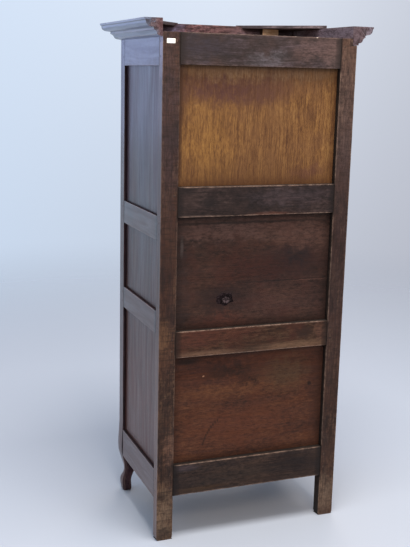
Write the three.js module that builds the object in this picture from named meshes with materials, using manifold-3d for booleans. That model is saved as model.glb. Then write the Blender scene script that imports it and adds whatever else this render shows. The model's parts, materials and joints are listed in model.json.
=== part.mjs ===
// A bonnetiere: a tall, narrow country cupboard in oak, with one door, two shelves and a loose cornice.
// Millimetres, +Z up. The front looks along -Y, and right and left are those of someone facing the front.
// The floor is at z = 0, and the origin lies under the middle of the whole cupboard, cornice included.

import * as THREE from "three";
import { mergeVertices } from "three/addons/utils/BufferGeometryUtils.js";
import Module from "manifold-3d";

const wasm = await Module();
wasm.setup();

// Body, without its cornice
const bodyHeight = 1870;
const bodyWidth = 748;
const bodyDepth = 510;

// Clearances
const fitGap = 0.3;
const panelPlay = 2;
const doorGap = 2;
const cutOverrun = 6;

// Posts
const rearPostWidth = 64;
const rearPostDepth = 40;
const rearFootTaper = 5;
const frontPostWidth = 78;
const frontPostDepth = 52;
const postEdgeRadius = 1.5;
const footHeight = 304;

// Joinery of the body
const tenonLength = 28;
const tenonThickness = 10;
const tenonShoulder = 15;
const grooveDepth = 12;
const panelThickness = 10;

// Back: heights of its rails and openings, from the floor up
const backRailThickness = 40;
const backPanelRecess = 24;
const backFloorGap = 174;
const backBottomRailHeight = 123;
const backLowerOpening = 417;
const backLowerRailHeight = 100;
const backMiddleOpening = 418;
const backUpperRailHeight = 109;
const backTopRailHeight = 109;

// Sides: heights of their rails and openings, from the floor up
const sideRailThickness = 28;
const sidePanelRecess = 11;
const sideFloorGap = 162;
const sideBottomRailHeight = 115;
const sideLowerOpening = 526;
const sideLowerRailHeight = 85;
const sideMiddleOpening = 259;
const sideUpperRailHeight = 89;
const sideTopRailHeight = 114;

// Front: its rail, apron and the stop that the door closes against
const frontRailThickness = 28;
const frontTopRailHeight = 125;
const apronTopHeight = 262;
const apronCentreHeight = 76;
const apronArchRise = 78;
const doorStopWidth = 8;

// Boards and shelves
const bottomBoardThickness = 22;
const bottomBoardDrop = 8;
const ceilingThickness = 16;
const ceilingDrop = 34;
const boardTongue = 8;
const shelfThickness = 20;
const cleatHeight = 24;
const cleatWidth = 20;

// Cornice: its overhang, and how it sits over the top of the body
const corniceOverhang = 66;
const corniceHeight = 62;
const corniceDrop = 18;
const corniceSeat = 20;
const corniceSeatStop = 80;
const corniceFrontRise = 8;
const corniceLugWidth = 17.5;
const corniceLugHeight = 24;
const gussetThickness = 12;
const gussetLegLeft = 270;
const gussetLegRight = 232;
const glueBlockLength = 70;
const glueBlockDepth = 30;
const glueBlockHeight = 36;
const glueBlockOffset = 202;

// Door
const doorThickness = 25;
const doorStileWidth = 70;
const doorBottomRailHeight = 112;
const doorTopRailHeight = 136;
const doorArchRise = 58;
const doorTenonThickness = 9;
const doorTenonLength = 40;
const doorPanelEdge = 8;
const fieldRise = 5;
const fieldBevel = 22;
const fieldMargin = 12;

// Hinges
const hingeBarrelRadius = 7;
const hingeStandoff = 0.5;
const hingePinRadius = 3.5;
const hingePinHeight = 42;
const hingeHalfHeight = 52;
const hingeFinialHeight = 20;
const hingeLeafThickness = 2.5;
const hingeLeafDepth = 20;
const hingeInset = 150;

// Lock, key and escutcheon
const keyInset = 32;
const lockCaseWidth = 64;
const lockCaseHeight = 92;
const lockCaseDepth = 18;
const lockCaseWall = 2;
const lockCaseInset = 10;
const boltThickness = 9;
const boltHeight = 14;
const boltThrow = 14;
const boltRest = 2;
const boltTail = 6;
const boltPocketPlay = 1;
const talonWidth = 14;
const talonDepth = 7;
const shankRadius = 3.5;
const bitLength = 16;
const bitThickness = 4;
const bitDepth = 9;
const keyReach = 34;
const bowRadius = 15;
const bowHoleRadius = 8.5;
const bowThickness = 4.5;
const collarRadius = 5.5;
const collarLength = 4;
const escutcheonWidth = 40;
const escutcheonHeight = 122;
const escutcheonThickness = 1.6;

// How finely round stretches are divided
const curveSteps = 10;
const barrelSides = 24;
const cornerSteps = 3;
const weldDistance = 1e-4;

// Planes that several pieces share
const sideX = bodyWidth / 2;
const backY = bodyDepth / 2;
const frontY = -bodyDepth / 2;
const rearPostInnerX = sideX - rearPostWidth;
const rearPostFrontY = backY - rearPostDepth;
const frontPostInnerX = sideX - frontPostWidth;
const frontPostBackY = frontY + frontPostDepth;
const sideRailInnerX = sideX - sideRailThickness;
const backRailInnerY = backY - backRailThickness;
const frontRailBackY = frontY + frontRailThickness;
const doorBackY = frontY + doorThickness;
const frontTopRailBottom = bodyHeight - frontTopRailHeight;
const doorEdgeX = frontPostInnerX - doorGap;
const doorBottom = apronTopHeight + doorGap;
const doorTop = frontTopRailBottom - doorGap;
const corniceTop = bodyHeight - corniceDrop + corniceHeight;
const corniceBottom = bodyHeight - corniceDrop;
const hingeAxisX = (frontPostInnerX + doorEdgeX) / 2;
const hingeAxisY = frontY - hingeBarrelRadius - hingeStandoff;
const keyX = keyInset - doorEdgeX;

const oakBack = { color: 0x6f4a2a, roughness: 0.62, metalness: 0 };
const oakRail = { color: 0x59402e, roughness: 0.6, metalness: 0 };
const oakFront = { color: 0x5f3418, roughness: 0.38, metalness: 0 };
const oakInside = { color: 0x8a6a48, roughness: 0.8, metalness: 0 };
const palePine = { color: 0xcda773, roughness: 0.75, metalness: 0 };
const darkIron = { color: 0x2e2b29, roughness: 0.5, metalness: 0.9 };
const agedBrass = { color: 0xa3803f, roughness: 0.36, metalness: 1 };

// Turns a closed geometry into a solid that can be cut and joined.
function solidOf(geometry) {
  const bare = geometry.index ? geometry.toNonIndexed() : geometry.clone();
  bare.deleteAttribute("normal");
  bare.deleteAttribute("uv");
  const merged = mergeVertices(bare, weldDistance);
  const corners = Array.from(merged.index.array);
  const triangles = [];
  for (let i = 0; i < corners.length; i += 3) {
    const [a, b, c] = corners.slice(i, i + 3);
    if (a !== b && b !== c && c !== a) triangles.push(a, b, c);
  }
  const mesh = new wasm.Mesh({
    numProp: 3,
    vertProperties: new Float32Array(merged.attributes.position.array),
    triVerts: new Uint32Array(triangles),
  });
  return new wasm.Manifold(mesh);
}

// Turns a solid back into a geometry with flat facets.
function geometryOf(solid) {
  const mesh = solid.getMesh();
  const geometry = new THREE.BufferGeometry();
  geometry.setAttribute("position", new THREE.BufferAttribute(new Float32Array(mesh.vertProperties), 3));
  geometry.setIndex(new THREE.BufferAttribute(new Uint32Array(mesh.triVerts), 1));
  const flat = geometry.toNonIndexed();
  flat.computeVertexNormals();
  return flat;
}

// A box from its limits; either limit of a pair may be the larger one.
function span(xs, ys, zs) {
  const first = new THREE.Vector3(xs[0], ys[0], zs[0]);
  const second = new THREE.Vector3(xs[1], ys[1], zs[1]);
  return new THREE.Box3().setFromPoints([first, second]);
}

function block(box) {
  const size = box.getSize(new THREE.Vector3());
  const centre = box.getCenter(new THREE.Vector3());
  const geometry = new THREE.BoxGeometry(size.x, size.y, size.z);
  geometry.translate(centre.x, centre.y, centre.z);
  return solidOf(snapToBox(geometry, box));
}

// Puts each corner exactly on the box, so that pieces that share a plane share it to the last digit.
function snapToBox(geometry, box) {
  const position = geometry.attributes.position;
  const centre = box.getCenter(new THREE.Vector3());
  for (let i = 0; i < position.count; i += 1) {
    const x = position.getX(i) > centre.x ? box.max.x : box.min.x;
    const y = position.getY(i) > centre.y ? box.max.y : box.min.y;
    const z = position.getZ(i) > centre.z ? box.max.z : box.min.z;
    position.setXYZ(i, x, y, z);
  }
  return geometry;
}

function grown(box, x, y = x, z = x) {
  return box.clone().expandByVector(new THREE.Vector3(x, y, z));
}

function cutAll(solid, cutters) {
  return cutters.reduce((left, cutter) => left.subtract(cutter), solid);
}

function joinAll(solids) {
  return solids.reduce((whole, solid) => whole.add(solid));
}

// An outline drawn in x and z, extruded along y.
function plateAlongY(shape, fromY, toY) {
  const geometry = new THREE.ExtrudeGeometry(shape, {
    depth: toY - fromY,
    bevelEnabled: false,
    curveSegments: curveSteps,
  });
  geometry.rotateX(Math.PI / 2);
  geometry.translate(0, toY, 0);
  return solidOf(geometry);
}

// An outline drawn in x and y, extruded along z.
function plateAlongZ(shape, fromZ, toZ) {
  const geometry = new THREE.ExtrudeGeometry(shape, { depth: toZ - fromZ, bevelEnabled: false });
  geometry.translate(0, 0, fromZ);
  return solidOf(geometry);
}

function polygon(points) {
  return new THREE.Shape(points.map(([a, b]) => new THREE.Vector2(a, b)));
}

// A turned solid on the z axis, from radius and height pairs that start and end on the axis.
function turned(profile, sides) {
  const points = profile.map(([radius, z]) => new THREE.Vector2(radius, z));
  const geometry = new THREE.LatheGeometry(points, sides);
  geometry.rotateX(Math.PI / 2);
  return solidOf(geometry);
}

function rod(radius, fromZ, toZ, sides = barrelSides) {
  return turned([[0, fromZ], [radius, fromZ], [radius, toZ], [0, toZ]], sides);
}

// A rod along y, from one depth to another.
function rodAlongY(radius, x, z, fromY, toY, sides = barrelSides) {
  return rod(radius, -toY, -fromY, sides).rotate([90, 0, 0]).translate([x, 0, z]);
}

function makeMesh(name, solid, look) {
  const mesh = new THREE.Mesh(geometryOf(solid), new THREE.MeshStandardMaterial(look));
  mesh.name = name;
  return mesh;
}

// Rails of one face, from the floor up; the top rail ends at the top of the body.
function railRows(floorGap, bottomRail, lowerOpening, lowerRail, middleOpening, upperRail, topRail) {
  const bottom = { name: "bottom", from: floorGap, to: floorGap + bottomRail };
  const lower = { name: "lower", from: bottom.to + lowerOpening };
  lower.to = lower.from + lowerRail;
  const upper = { name: "upper", from: lower.to + middleOpening };
  upper.to = upper.from + upperRail;
  const top = { name: "top", from: bodyHeight - topRail, to: bodyHeight };
  return [bottom, lower, upper, top];
}

// Openings between neighbouring rails, each of which holds one panel.
function openingsBetween(rows) {
  const names = ["lower", "middle", "upper"];
  return names.map((name, i) => ({ name, from: rows[i].to, to: rows[i + 1].from }));
}

const backRows = railRows(
  backFloorGap, backBottomRailHeight, backLowerOpening, backLowerRailHeight,
  backMiddleOpening, backUpperRailHeight, backTopRailHeight,
);
const sideRows = railRows(
  sideFloorGap, sideBottomRailHeight, sideLowerOpening, sideLowerRailHeight,
  sideMiddleOpening, sideUpperRailHeight, sideTopRailHeight,
);

const panelReach = grooveDepth - panelPlay;

function backPanelBox(opening) {
  const outerY = backY - backPanelRecess;
  const reachX = rearPostInnerX + panelReach;
  return span(
    [-reachX, reachX],
    [outerY - panelThickness, outerY],
    [opening.from - panelReach, opening.to + panelReach],
  );
}

function sidePanelBox(opening, side) {
  const outerX = sideX - sidePanelRecess;
  return span(
    [side * outerX, side * (outerX - panelThickness)],
    [frontPostBackY - panelReach, rearPostFrontY + panelReach],
    [opening.from - panelReach, opening.to + panelReach],
  );
}

const backPanelBoxes = openingsBetween(backRows).map((opening) => backPanelBox(opening));
const backGrooves = backPanelBoxes.map((box) => block(grown(box, panelPlay, fitGap, panelPlay)));
const sideOpenings = openingsBetween(sideRows);

function sideGrooves(side) {
  return sideOpenings.map((opening) => block(grown(sidePanelBox(opening, side), fitGap, panelPlay, panelPlay)));
}

// How high a rail's tenons stand; those of a top rail stay below the seat of the cornice's lug.
function tenonHeights(row) {
  const upperShoulder = row.to === bodyHeight ? corniceLugHeight + tenonShoulder : tenonShoulder;
  return [row.from + tenonShoulder, row.to - upperShoulder];
}

// Tenons of a rail that runs in x, at both ends.
function crossTenons(endX, middleY, row) {
  const ys = [middleY - tenonThickness / 2, middleY + tenonThickness / 2];
  const zs = tenonHeights(row);
  return [-1, 1].map((end) => span([end * (endX - cutOverrun), end * (endX + tenonLength)], ys, zs));
}

function backTenons(row) {
  return crossTenons(rearPostInnerX, backY - backRailThickness / 2, row);
}

const frontTopRow = { from: frontTopRailBottom, to: bodyHeight };
const apronRow = { from: apronTopHeight - apronCentreHeight, to: apronTopHeight };

function frontTenons(row) {
  return crossTenons(frontPostInnerX, frontY + frontRailThickness / 2, row);
}

// Tenons of a side rail, at both ends.
function sideTenons(row, side) {
  const middleX = sideX - sideRailThickness / 2;
  const xs = [side * (middleX - tenonThickness / 2), side * (middleX + tenonThickness / 2)];
  const zs = tenonHeights(row);
  const frontEnd = span(xs, [frontPostBackY + cutOverrun, frontPostBackY - tenonLength], zs);
  const rearEnd = span(xs, [rearPostFrontY - cutOverrun, rearPostFrontY + tenonLength], zs);
  return [frontEnd, rearEnd];
}

function mortises(tenonBoxes) {
  return tenonBoxes.map((box) => block(grown(box, fitGap)));
}

// Boards that close the body below and above: each has a tongue on all four sides.
function boardBox(from, to) {
  const reachX = sideRailInnerX + boardTongue;
  return span([-reachX, reachX], [frontRailBackY - boardTongue, backRailInnerY + boardTongue], [from, to]);
}

const bottomBoardTop = apronTopHeight - bottomBoardDrop;
const bottomBoardBox = boardBox(bottomBoardTop - bottomBoardThickness, bottomBoardTop);
const ceilingBox = boardBox(bodyHeight - ceilingDrop - ceilingThickness, bodyHeight - ceilingDrop);
const boardGrooves = [bottomBoardBox, ceilingBox].map((box) => block(grown(box, fitGap)));

function rearPostBox(side) {
  return span([side * rearPostInnerX, side * sideX], [rearPostFrontY, backY], [0, bodyHeight]);
}

function frontPostBox(side) {
  const innerX = frontPostInnerX - doorStopWidth;
  return span([side * innerX, side * sideX], [frontY, frontPostBackY], [0, bodyHeight]);
}

// One horizontal section of a front post, with rounded corners, as points of a ring seen from above.
function postRing(side, z, limits, radius) {
  const corners = [
    [limits.outer, limits.back, 0],
    [limits.inner, limits.back, 1],
    [limits.inner, limits.front, 2],
    [limits.outer, limits.front, 3],
  ];
  const ring = [];
  for (const [x, y, quarter] of corners) {
    const middleX = x + (x === limits.outer ? -radius : radius);
    const middleY = y + (y === limits.back ? -radius : radius);
    for (let step = 0; step <= cornerSteps; step += 1) {
      const angle = (quarter + step / cornerSteps) * Math.PI / 2;
      const point = [middleX + radius * Math.cos(angle), middleY + radius * Math.sin(angle)];
      ring.push(new THREE.Vector3(side * point[0], point[1], z));
    }
  }
  return side > 0 ? ring : ring.reverse();
}

// A closed skin over rings of equal length, from the lowest ring to the highest.
function loft(rings) {
  const count = rings[0].length;
  const points = rings.flat();
  const index = [];
  for (let level = 0; level < rings.length - 1; level += 1) {
    for (let i = 0; i < count; i += 1) {
      const a = level * count + i;
      const b = level * count + (i + 1) % count;
      index.push(a, b, b + count, a, b + count, a + count);
    }
  }
  const last = (rings.length - 1) * count;
  for (let i = 1; i < count - 1; i += 1) {
    index.push(0, i + 1, i);
    index.push(last, last + i, last + i + 1);
  }
  const geometry = new THREE.BufferGeometry().setFromPoints(points);
  geometry.setIndex(index);
  return solidOf(geometry);
}

// The cabriole foot of a front post, from the floor up. Height is a share of the foot's height, front and
// back are shares of the post's depth, outer and inner are shares of its width, all beyond its faces.
const footShares = [
  { height: 0, front: -0.3, back: -0.06, outer: -0.09, inner: -0.46, round: 0.16 },
  { height: 0.03, front: -0.16, back: -0.02, outer: -0.05, inner: -0.43, round: 0.18 },
  { height: 0.09, front: -0.03, back: 0, outer: -0.02, inner: -0.44, round: 0.19 },
  { height: 0.15, front: 0.02, back: -0.01, outer: -0.01, inner: -0.46, round: 0.19 },
  { height: 0.2, front: -0.12, back: -0.03, outer: -0.05, inner: -0.41, round: 0.18 },
  { height: 0.25, front: -0.3, back: -0.04, outer: -0.12, inner: -0.33, round: 0.17 },
  { height: 0.31, front: -0.4, back: -0.04, outer: -0.16, inner: -0.22, round: 0.17 },
  { height: 0.37, front: -0.36, back: -0.03, outer: -0.14, inner: -0.1, round: 0.17 },
  { height: 0.43, front: -0.18, back: -0.02, outer: -0.09, inner: 0, round: 0.16 },
  { height: 0.5, front: 0.06, back: 0, outer: -0.02, inner: 0, round: 0.14 },
  { height: 0.57, front: 0.21, back: 0, outer: 0.03, inner: 0, round: 0.13 },
  { height: 0.65, front: 0.26, back: 0, outer: 0.045, inner: 0, round: 0.11 },
  { height: 0.75, front: 0.21, back: 0, outer: 0.035, inner: 0, round: 0.09 },
  { height: 0.86, front: 0.1, back: 0, outer: 0.015, inner: 0, round: 0.06 },
];
const bracketTopShare = 0.43;

function frontPostBlank(side) {
  const rings = footShares.map((share) => {
    const limits = {
      front: frontY - share.front * frontPostDepth,
      back: frontPostBackY + share.back * frontPostDepth,
      outer: sideX + share.outer * frontPostWidth,
      inner: frontPostInnerX - share.inner * frontPostWidth,
    };
    return postRing(side, share.height * footHeight, limits, share.round * frontPostWidth);
  });
  const straight = { front: frontY, back: frontPostBackY, outer: sideX, inner: frontPostInnerX };
  rings.push(postRing(side, footHeight, straight, postEdgeRadius));
  rings.push(postRing(side, bodyHeight, straight, postEdgeRadius));
  return loft(rings);
}

// The strip behind the door's free edge, which the door closes against.
function doorStop() {
  return block(span(
    [-frontPostInnerX - cutOverrun, doorStopWidth - frontPostInnerX],
    [doorBackY + fitGap, frontPostBackY],
    [apronTopHeight + fitGap, frontTopRailBottom - fitGap],
  ));
}

// The lock sits half way up the middle opening, clear of the tenons of the door's rails.
const lockHeight = (sideRows[1].to + sideRows[2].from) / 2;
const lockCaseOuterX = lockCaseInset - doorEdgeX;
const boltMiddleY = doorBackY + lockCaseDepth / 2;
const boltBottom = lockHeight + bitLength - talonDepth;

const talonX = keyX + boltThrow - bitThickness / 2 - boltPocketPlay;

function boltBox() {
  return span(
    [lockCaseOuterX - boltRest, talonX + talonWidth + boltTail],
    [boltMiddleY - boltThickness / 2, boltMiddleY + boltThickness / 2],
    [boltBottom, boltBottom + boltHeight],
  );
}

// The pocket in the post that takes the thrown bolt.
function boltPocket() {
  const box = grown(boltBox(), 0, boltPocketPlay, boltPocketPlay);
  box.min.x = lockCaseOuterX - boltRest - boltThrow - doorGap;
  return block(box);
}

function hingeHeights() {
  return { lower: doorBottom + hingeInset, upper: doorTop - hingeInset };
}

function hingeLeafBox(fromX, thicknessSign, fromZ, toZ) {
  const toX = fromX + thicknessSign * hingeLeafThickness;
  return span([fromX, toX], [hingeAxisY, frontY + hingeLeafDepth], [fromZ, toZ]);
}

// The leaf of the half that the post carries, below the middle of the hinge.
function postLeafBox(z) {
  return hingeLeafBox(frontPostInnerX, 1, z - hingeHalfHeight, z);
}

// The leaf of the half that the door carries, above the middle of the hinge.
function doorLeafBox(z) {
  return hingeLeafBox(doorEdgeX, -1, z + fitGap, z + hingeHalfHeight);
}

function leafSeats(boxOf) {
  return Object.values(hingeHeights()).map((z) => block(grown(boxOf(z), fitGap)));
}

function frontPost(side) {
  const cuts = [
    ...sideGrooves(side),
    ...mortises(sideRows.flatMap((row) => sideTenons(row, side))),
    ...mortises([...frontTenons(frontTopRow), ...frontTenons(apronRow)]),
  ];
  if (side > 0) return cutAll(frontPostBlank(side), [...cuts, ...leafSeats(postLeafBox)]);
  return cutAll(frontPostBlank(side).add(doorStop()), [...cuts, boltPocket()]);
}

// The seat in the left rear post for the lug of the cornice.
function lugBox() {
  const zs = [bodyHeight - corniceLugHeight, bodyHeight];
  return span([-sideX, corniceLugWidth - sideX], [rearPostFrontY, backY], zs);
}

function rearPost(side) {
  const box = rearPostBox(side);
  const cuts = [
    footTaper(box.min.x, -1),
    footTaper(box.max.x, 1),
    ...backGrooves,
    ...sideGrooves(side),
    ...mortises(backRows.flatMap((row) => backTenons(row))),
    ...mortises(sideRows.flatMap((row) => sideTenons(row, side))),
  ];
  if (side < 0) cuts.push(lugSeat());
  return cutAll(block(box), cuts);
}

// The seat of the lug, open outwards, backwards and upwards.
function lugSeat() {
  const lug = lugBox();
  return block(span(
    [lug.min.x - cutOverrun, lug.max.x],
    [lug.min.y - cutOverrun, lug.max.y + cutOverrun],
    [lug.min.z, lug.max.z + cutOverrun],
  ));
}

// A wedge that takes the lower edge off one face of a rear post's foot.
function footTaper(faceX, edge) {
  const outside = faceX + edge * cutOverrun;
  const inside = faceX - edge * rearFootTaper;
  const rise = rearFootTaper * 2;
  const outline = polygon([[outside, 0], [outside, rise], [faceX, rise], [inside, 0]]);
  return plateAlongY(outline, rearPostFrontY - cutOverrun, backY + cutOverrun);
}

function backRail(row) {
  const body = span([-rearPostInnerX, rearPostInnerX], [backRailInnerY, backY], [row.from, row.to]);
  return cutAll(joinAll([block(body), ...backTenons(row).map(block)]), [...backGrooves, ...boardGrooves]);
}

function sideRail(row, side) {
  const ys = [frontPostBackY, rearPostFrontY];
  const body = span([side * sideRailInnerX, side * sideX], ys, [row.from, row.to]);
  const whole = joinAll([block(body), ...sideTenons(row, side).map(block)]);
  return cutAll(whole, [...sideGrooves(side), ...boardGrooves]);
}

function frontTopRail() {
  const zs = [frontTopRow.from, frontTopRow.to];
  const body = span([-frontPostInnerX, frontPostInnerX], [frontY, frontRailBackY], zs);
  return cutAll(joinAll([block(body), ...frontTenons(frontTopRow).map(block)]), boardGrooves);
}

// Where the apron's arches crown, and how far their curves reach, as shares of the stretches they cross.
const apronCrownShare = 0.62;
const apronReachShare = 0.5;

// The apron: low at its ends, where it meets the feet's brackets, and arched on both sides of a low middle.
function apronOutline() {
  const end = frontPostInnerX;
  const endZ = bracketTopShare * footHeight;
  const archZ = endZ + apronArchRise;
  const middleZ = apronRow.from;
  const crown = end * apronCrownShare;
  const endBend = end - (end - crown) * apronReachShare;
  const middleBend = crown * apronReachShare;
  const shape = new THREE.Shape();
  shape.moveTo(-end, apronTopHeight);
  shape.lineTo(-end, endZ);
  shape.bezierCurveTo(-endBend, endZ, -endBend, archZ, -crown, archZ);
  shape.bezierCurveTo(-middleBend, archZ, -middleBend, middleZ, 0, middleZ);
  shape.bezierCurveTo(middleBend, middleZ, middleBend, archZ, crown, archZ);
  shape.bezierCurveTo(endBend, archZ, endBend, endZ, end, endZ);
  shape.lineTo(end, apronTopHeight);
  return shape;
}

function frontApron() {
  const board = plateAlongY(apronOutline(), frontY, frontRailBackY);
  return cutAll(joinAll([board, ...frontTenons(apronRow).map(block)]), boardGrooves);
}

// A board with its corners cut out around the four posts.
function notchedBoard(box) {
  const posts = [-1, 1].flatMap((side) => [rearPostBox(side), frontPostBox(side)]);
  return cutAll(block(box), posts.map((post) => block(grown(post, fitGap))));
}

// A shelf lies on two cleats, level with the top of the side rail that carries them.
function shelf(row) {
  const reachX = sideRailInnerX - fitGap;
  return block(span(
    [-reachX, reachX],
    [frontPostBackY + fitGap, backRailInnerY - fitGap],
    [row.to - shelfThickness, row.to],
  ));
}

function shelfCleat(row, side) {
  const top = row.to - shelfThickness;
  return block(span(
    [side * sideRailInnerX, side * (sideRailInnerX - cleatWidth)],
    [frontPostBackY + fitGap, rearPostFrontY - fitGap],
    [top, top - cleatHeight],
  ));
}

// The moulding of the cornice: how far it stands out, and its height, as shares of both.
const corniceShares = [
  [0.01, 0], [0.21, 0.05], [0.29, 0.1], [0.33, 0.17], [0.36, 0.25], [0.42, 0.32], [0.5, 0.36], [0.5, 0.48],
  [0.74, 0.53], [0.82, 0.57], [0.89, 0.64], [0.93, 0.72], [0.94, 0.81], [0.94, 0.87], [1, 0.87], [1, 1],
];

// The section of a cornice board: the moulding outside, and a seat that lies on the top of the body.
function corniceSection() {
  const outside = corniceShares.map(([out, up]) => [out * corniceOverhang, corniceBottom + up * corniceHeight]);
  const seat = [[-corniceSeat, corniceTop], [-corniceSeat, bodyHeight], [fitGap, bodyHeight]];
  return polygon([...outside, ...seat, [fitGap, corniceBottom]]);
}

// A straight length of cornice board along the y axis, whose moulding looks along +x.
function corniceLength(fromY, toY) {
  return plateAlongY(corniceSection(), fromY, toY);
}

// The wedge that the mitre of the front corner on one side takes off a board.
function mitreWedge(side, towardsFront) {
  const reach = corniceOverhang + cutOverrun;
  const back = corniceSeat + cutOverrun;
  const gap = towardsFront ? fitGap : -fitGap;
  const outer = [side * (sideX + reach), frontY - reach + gap];
  const inner = [side * (sideX - back), frontY + back + gap];
  const corner = towardsFront ? [inner[0], outer[1]] : [outer[0], inner[1]];
  return plateAlongZ(polygon([outer, inner, corner]), corniceBottom - cutOverrun, corniceTop + cutOverrun);
}

// Behind its moulding the front board stands higher, but for its ends, where the gussets are let in.
function corniceFront() {
  const reach = sideX + corniceOverhang;
  const board = corniceLength(-reach, reach).rotate([0, 0, -90]).translate([0, frontY, 0]);
  const left = gussetLegLeft - sideX + fitGap;
  const right = sideX - gussetLegRight - fitGap;
  const back = frontY + corniceSeat;
  const outline = polygon([[left, frontY], [right, frontY], [right + corniceSeat, back], [left - corniceSeat, back]]);
  const rise = plateAlongZ(outline, corniceTop - cutOverrun, corniceTop + corniceFrontRise);
  return cutAll(board, [mitreWedge(1, false), mitreWedge(-1, false)]).add(rise);
}

// The left return is held by its lug. The seat of the right one stops short of its back end.
function corniceReturn(side) {
  const straight = corniceLength(frontY - corniceOverhang, backY).translate([sideX, 0, 0]);
  const board = side > 0 ? straight : straight.mirror([1, 0, 0]);
  const mitred = board.subtract(mitreWedge(side, true));
  if (side < 0) return mitred.add(corniceLug());
  const seatEnd = block(span(
    [sideX - corniceSeat - cutOverrun, sideX + fitGap],
    [backY - corniceSeatStop, backY + cutOverrun],
    [bodyHeight - cutOverrun, corniceTop + cutOverrun],
  ));
  return mitred.subtract(seatEnd);
}

// The lug fills the seat in the left rear post and holds the cornice in place.
function corniceLug() {
  const lug = lugBox();
  return block(span(
    [lug.min.x - cutOverrun, lug.max.x - fitGap],
    [lug.min.y + fitGap, lug.max.y],
    [lug.min.z + fitGap, lug.max.z + cutOverrun],
  ));
}

// A three-cornered board that ties the front board to a return.
function corniceGusset(side, leg) {
  const cornerX = side * sideX;
  const outline = polygon([[cornerX, frontY], [cornerX, frontY + leg], [cornerX - side * leg, frontY]]);
  return plateAlongZ(outline, corniceTop, corniceTop + gussetThickness);
}

function corniceGlueBlock() {
  const frontFace = frontY + corniceSeat;
  return block(span(
    [-glueBlockOffset, -glueBlockOffset - glueBlockLength],
    [frontFace, frontFace + glueBlockDepth],
    [corniceTop - glueBlockHeight, corniceTop],
  ));
}

// Door: places across it and up it
const doorInnerX = doorEdgeX - doorStileWidth;
const doorMiddleY = frontY + doorThickness / 2;
const doorRows = [
  { name: "bottom", from: doorBottom, to: doorBottom + doorBottomRailHeight },
  { name: "lower", from: sideRows[1].from, to: sideRows[1].to },
  { name: "upper", from: sideRows[2].from, to: sideRows[2].to },
  { name: "top", from: doorTop - doorTopRailHeight, to: doorTop },
];
const doorOpenings = openingsBetween(doorRows);

// How far the curves of an arched head reach, as a share of half its width.
const archReachShare = 0.45;

// An opening's outline in x and z, grown by a margin all round; the rise lifts the middle of its head.
function openingOutline(opening, rise, margin) {
  const reach = doorInnerX + margin;
  const base = opening.from - margin;
  const spring = opening.to + margin;
  const bend = reach * archReachShare;
  const shape = new THREE.Shape();
  shape.moveTo(-reach, base);
  shape.lineTo(reach, base);
  shape.lineTo(reach, spring);
  if (rise > 0) {
    shape.bezierCurveTo(reach - bend, spring, bend, spring + rise, 0, spring + rise);
    shape.bezierCurveTo(-bend, spring + rise, bend - reach, spring, -reach, spring);
  } else {
    shape.lineTo(-reach, spring);
  }
  return shape;
}

function riseOf(opening) {
  return opening.name === "upper" ? doorArchRise : 0;
}

function doorGroove(opening) {
  const half = doorPanelEdge / 2 + fitGap;
  const outline = openingOutline(opening, riseOf(opening), grooveDepth);
  return plateAlongY(outline, doorMiddleY - half, doorMiddleY + half);
}

const doorGrooves = doorOpenings.map((opening) => doorGroove(opening));

// The most that a field may stand back from each edge of its opening, as a share of the opening's height.
const fieldLimitShare = 0.25;

// A door panel: a flat edge that the grooves hold, and a raised field that slopes down to it.
function doorPanel(opening) {
  const rise = riseOf(opening);
  const half = doorPanelEdge / 2;
  const plateOutline = openingOutline(opening, rise, panelReach);
  const plate = plateAlongY(plateOutline, doorMiddleY - half, doorMiddleY + half);
  const inset = Math.min(fieldMargin + fieldBevel, (opening.to - opening.from) * fieldLimitShare);
  const field = new THREE.ExtrudeGeometry(openingOutline(opening, rise, -inset), {
    depth: doorPanelEdge,
    bevelThickness: fieldRise,
    bevelSize: fieldBevel,
    bevelSegments: 1,
    curveSegments: curveSteps,
  });
  field.rotateX(Math.PI / 2);
  field.translate(0, doorMiddleY + half, 0);
  const frontOnly = block(span(
    [-doorInnerX, doorInnerX],
    [frontY, doorMiddleY],
    [opening.from, opening.to + rise],
  ));
  return plate.add(solidOf(field).intersect(frontOnly));
}

function doorTenons(row) {
  const ys = [doorMiddleY - doorTenonThickness / 2, doorMiddleY + doorTenonThickness / 2];
  const zs = [row.from + tenonShoulder, row.to - tenonShoulder];
  const fromX = doorInnerX - cutOverrun;
  const toX = doorInnerX + doorTenonLength;
  return [-1, 1].map((end) => span([end * fromX, end * toX], ys, zs));
}

function doorRail(row) {
  const body = span([-doorInnerX, doorInnerX], [frontY, doorBackY], [row.from, row.to]);
  const whole = joinAll([block(body), ...doorTenons(row).map(block)]);
  if (row.name !== "top") return cutAll(whole, doorGrooves);
  const arch = plateAlongY(openingOutline(doorOpenings[2], doorArchRise, 0), frontY - cutOverrun, doorBackY + cutOverrun);
  return cutAll(whole, [arch, ...doorGrooves]);
}

// The keyhole: a round hole for the shank with a slot below it for the bit.
function keyhole(fromY, toY) {
  const slotHalf = bitThickness / 2 + fitGap;
  const slot = block(span(
    [keyX - slotHalf, keyX + slotHalf],
    [fromY, toY],
    [lockHeight - bitLength - fitGap, lockHeight],
  ));
  return slot.add(rodAlongY(shankRadius + fitGap, keyX, lockHeight, fromY, toY));
}

function doorStile(side) {
  const body = span([side * doorInnerX, side * doorEdgeX], [frontY, doorBackY], [doorBottom, doorTop]);
  const cuts = [...doorGrooves, ...mortises(doorRows.flatMap((row) => doorTenons(row)))];
  if (side > 0) return cutAll(block(body), [...cuts, ...leafSeats(doorLeafBox)]);
  return cutAll(block(body), [...cuts, keyhole(frontY - cutOverrun, doorBackY + cutOverrun)]);
}

// A hinge's turned tip: radius as a share of the barrel's, and distance from its point as a share of its height.
const tipShares = [[0, 0], [0.3, 0.07], [0.45, 0.25], [0.3, 0.42], [0.75, 0.82], [1, 1]];

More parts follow.
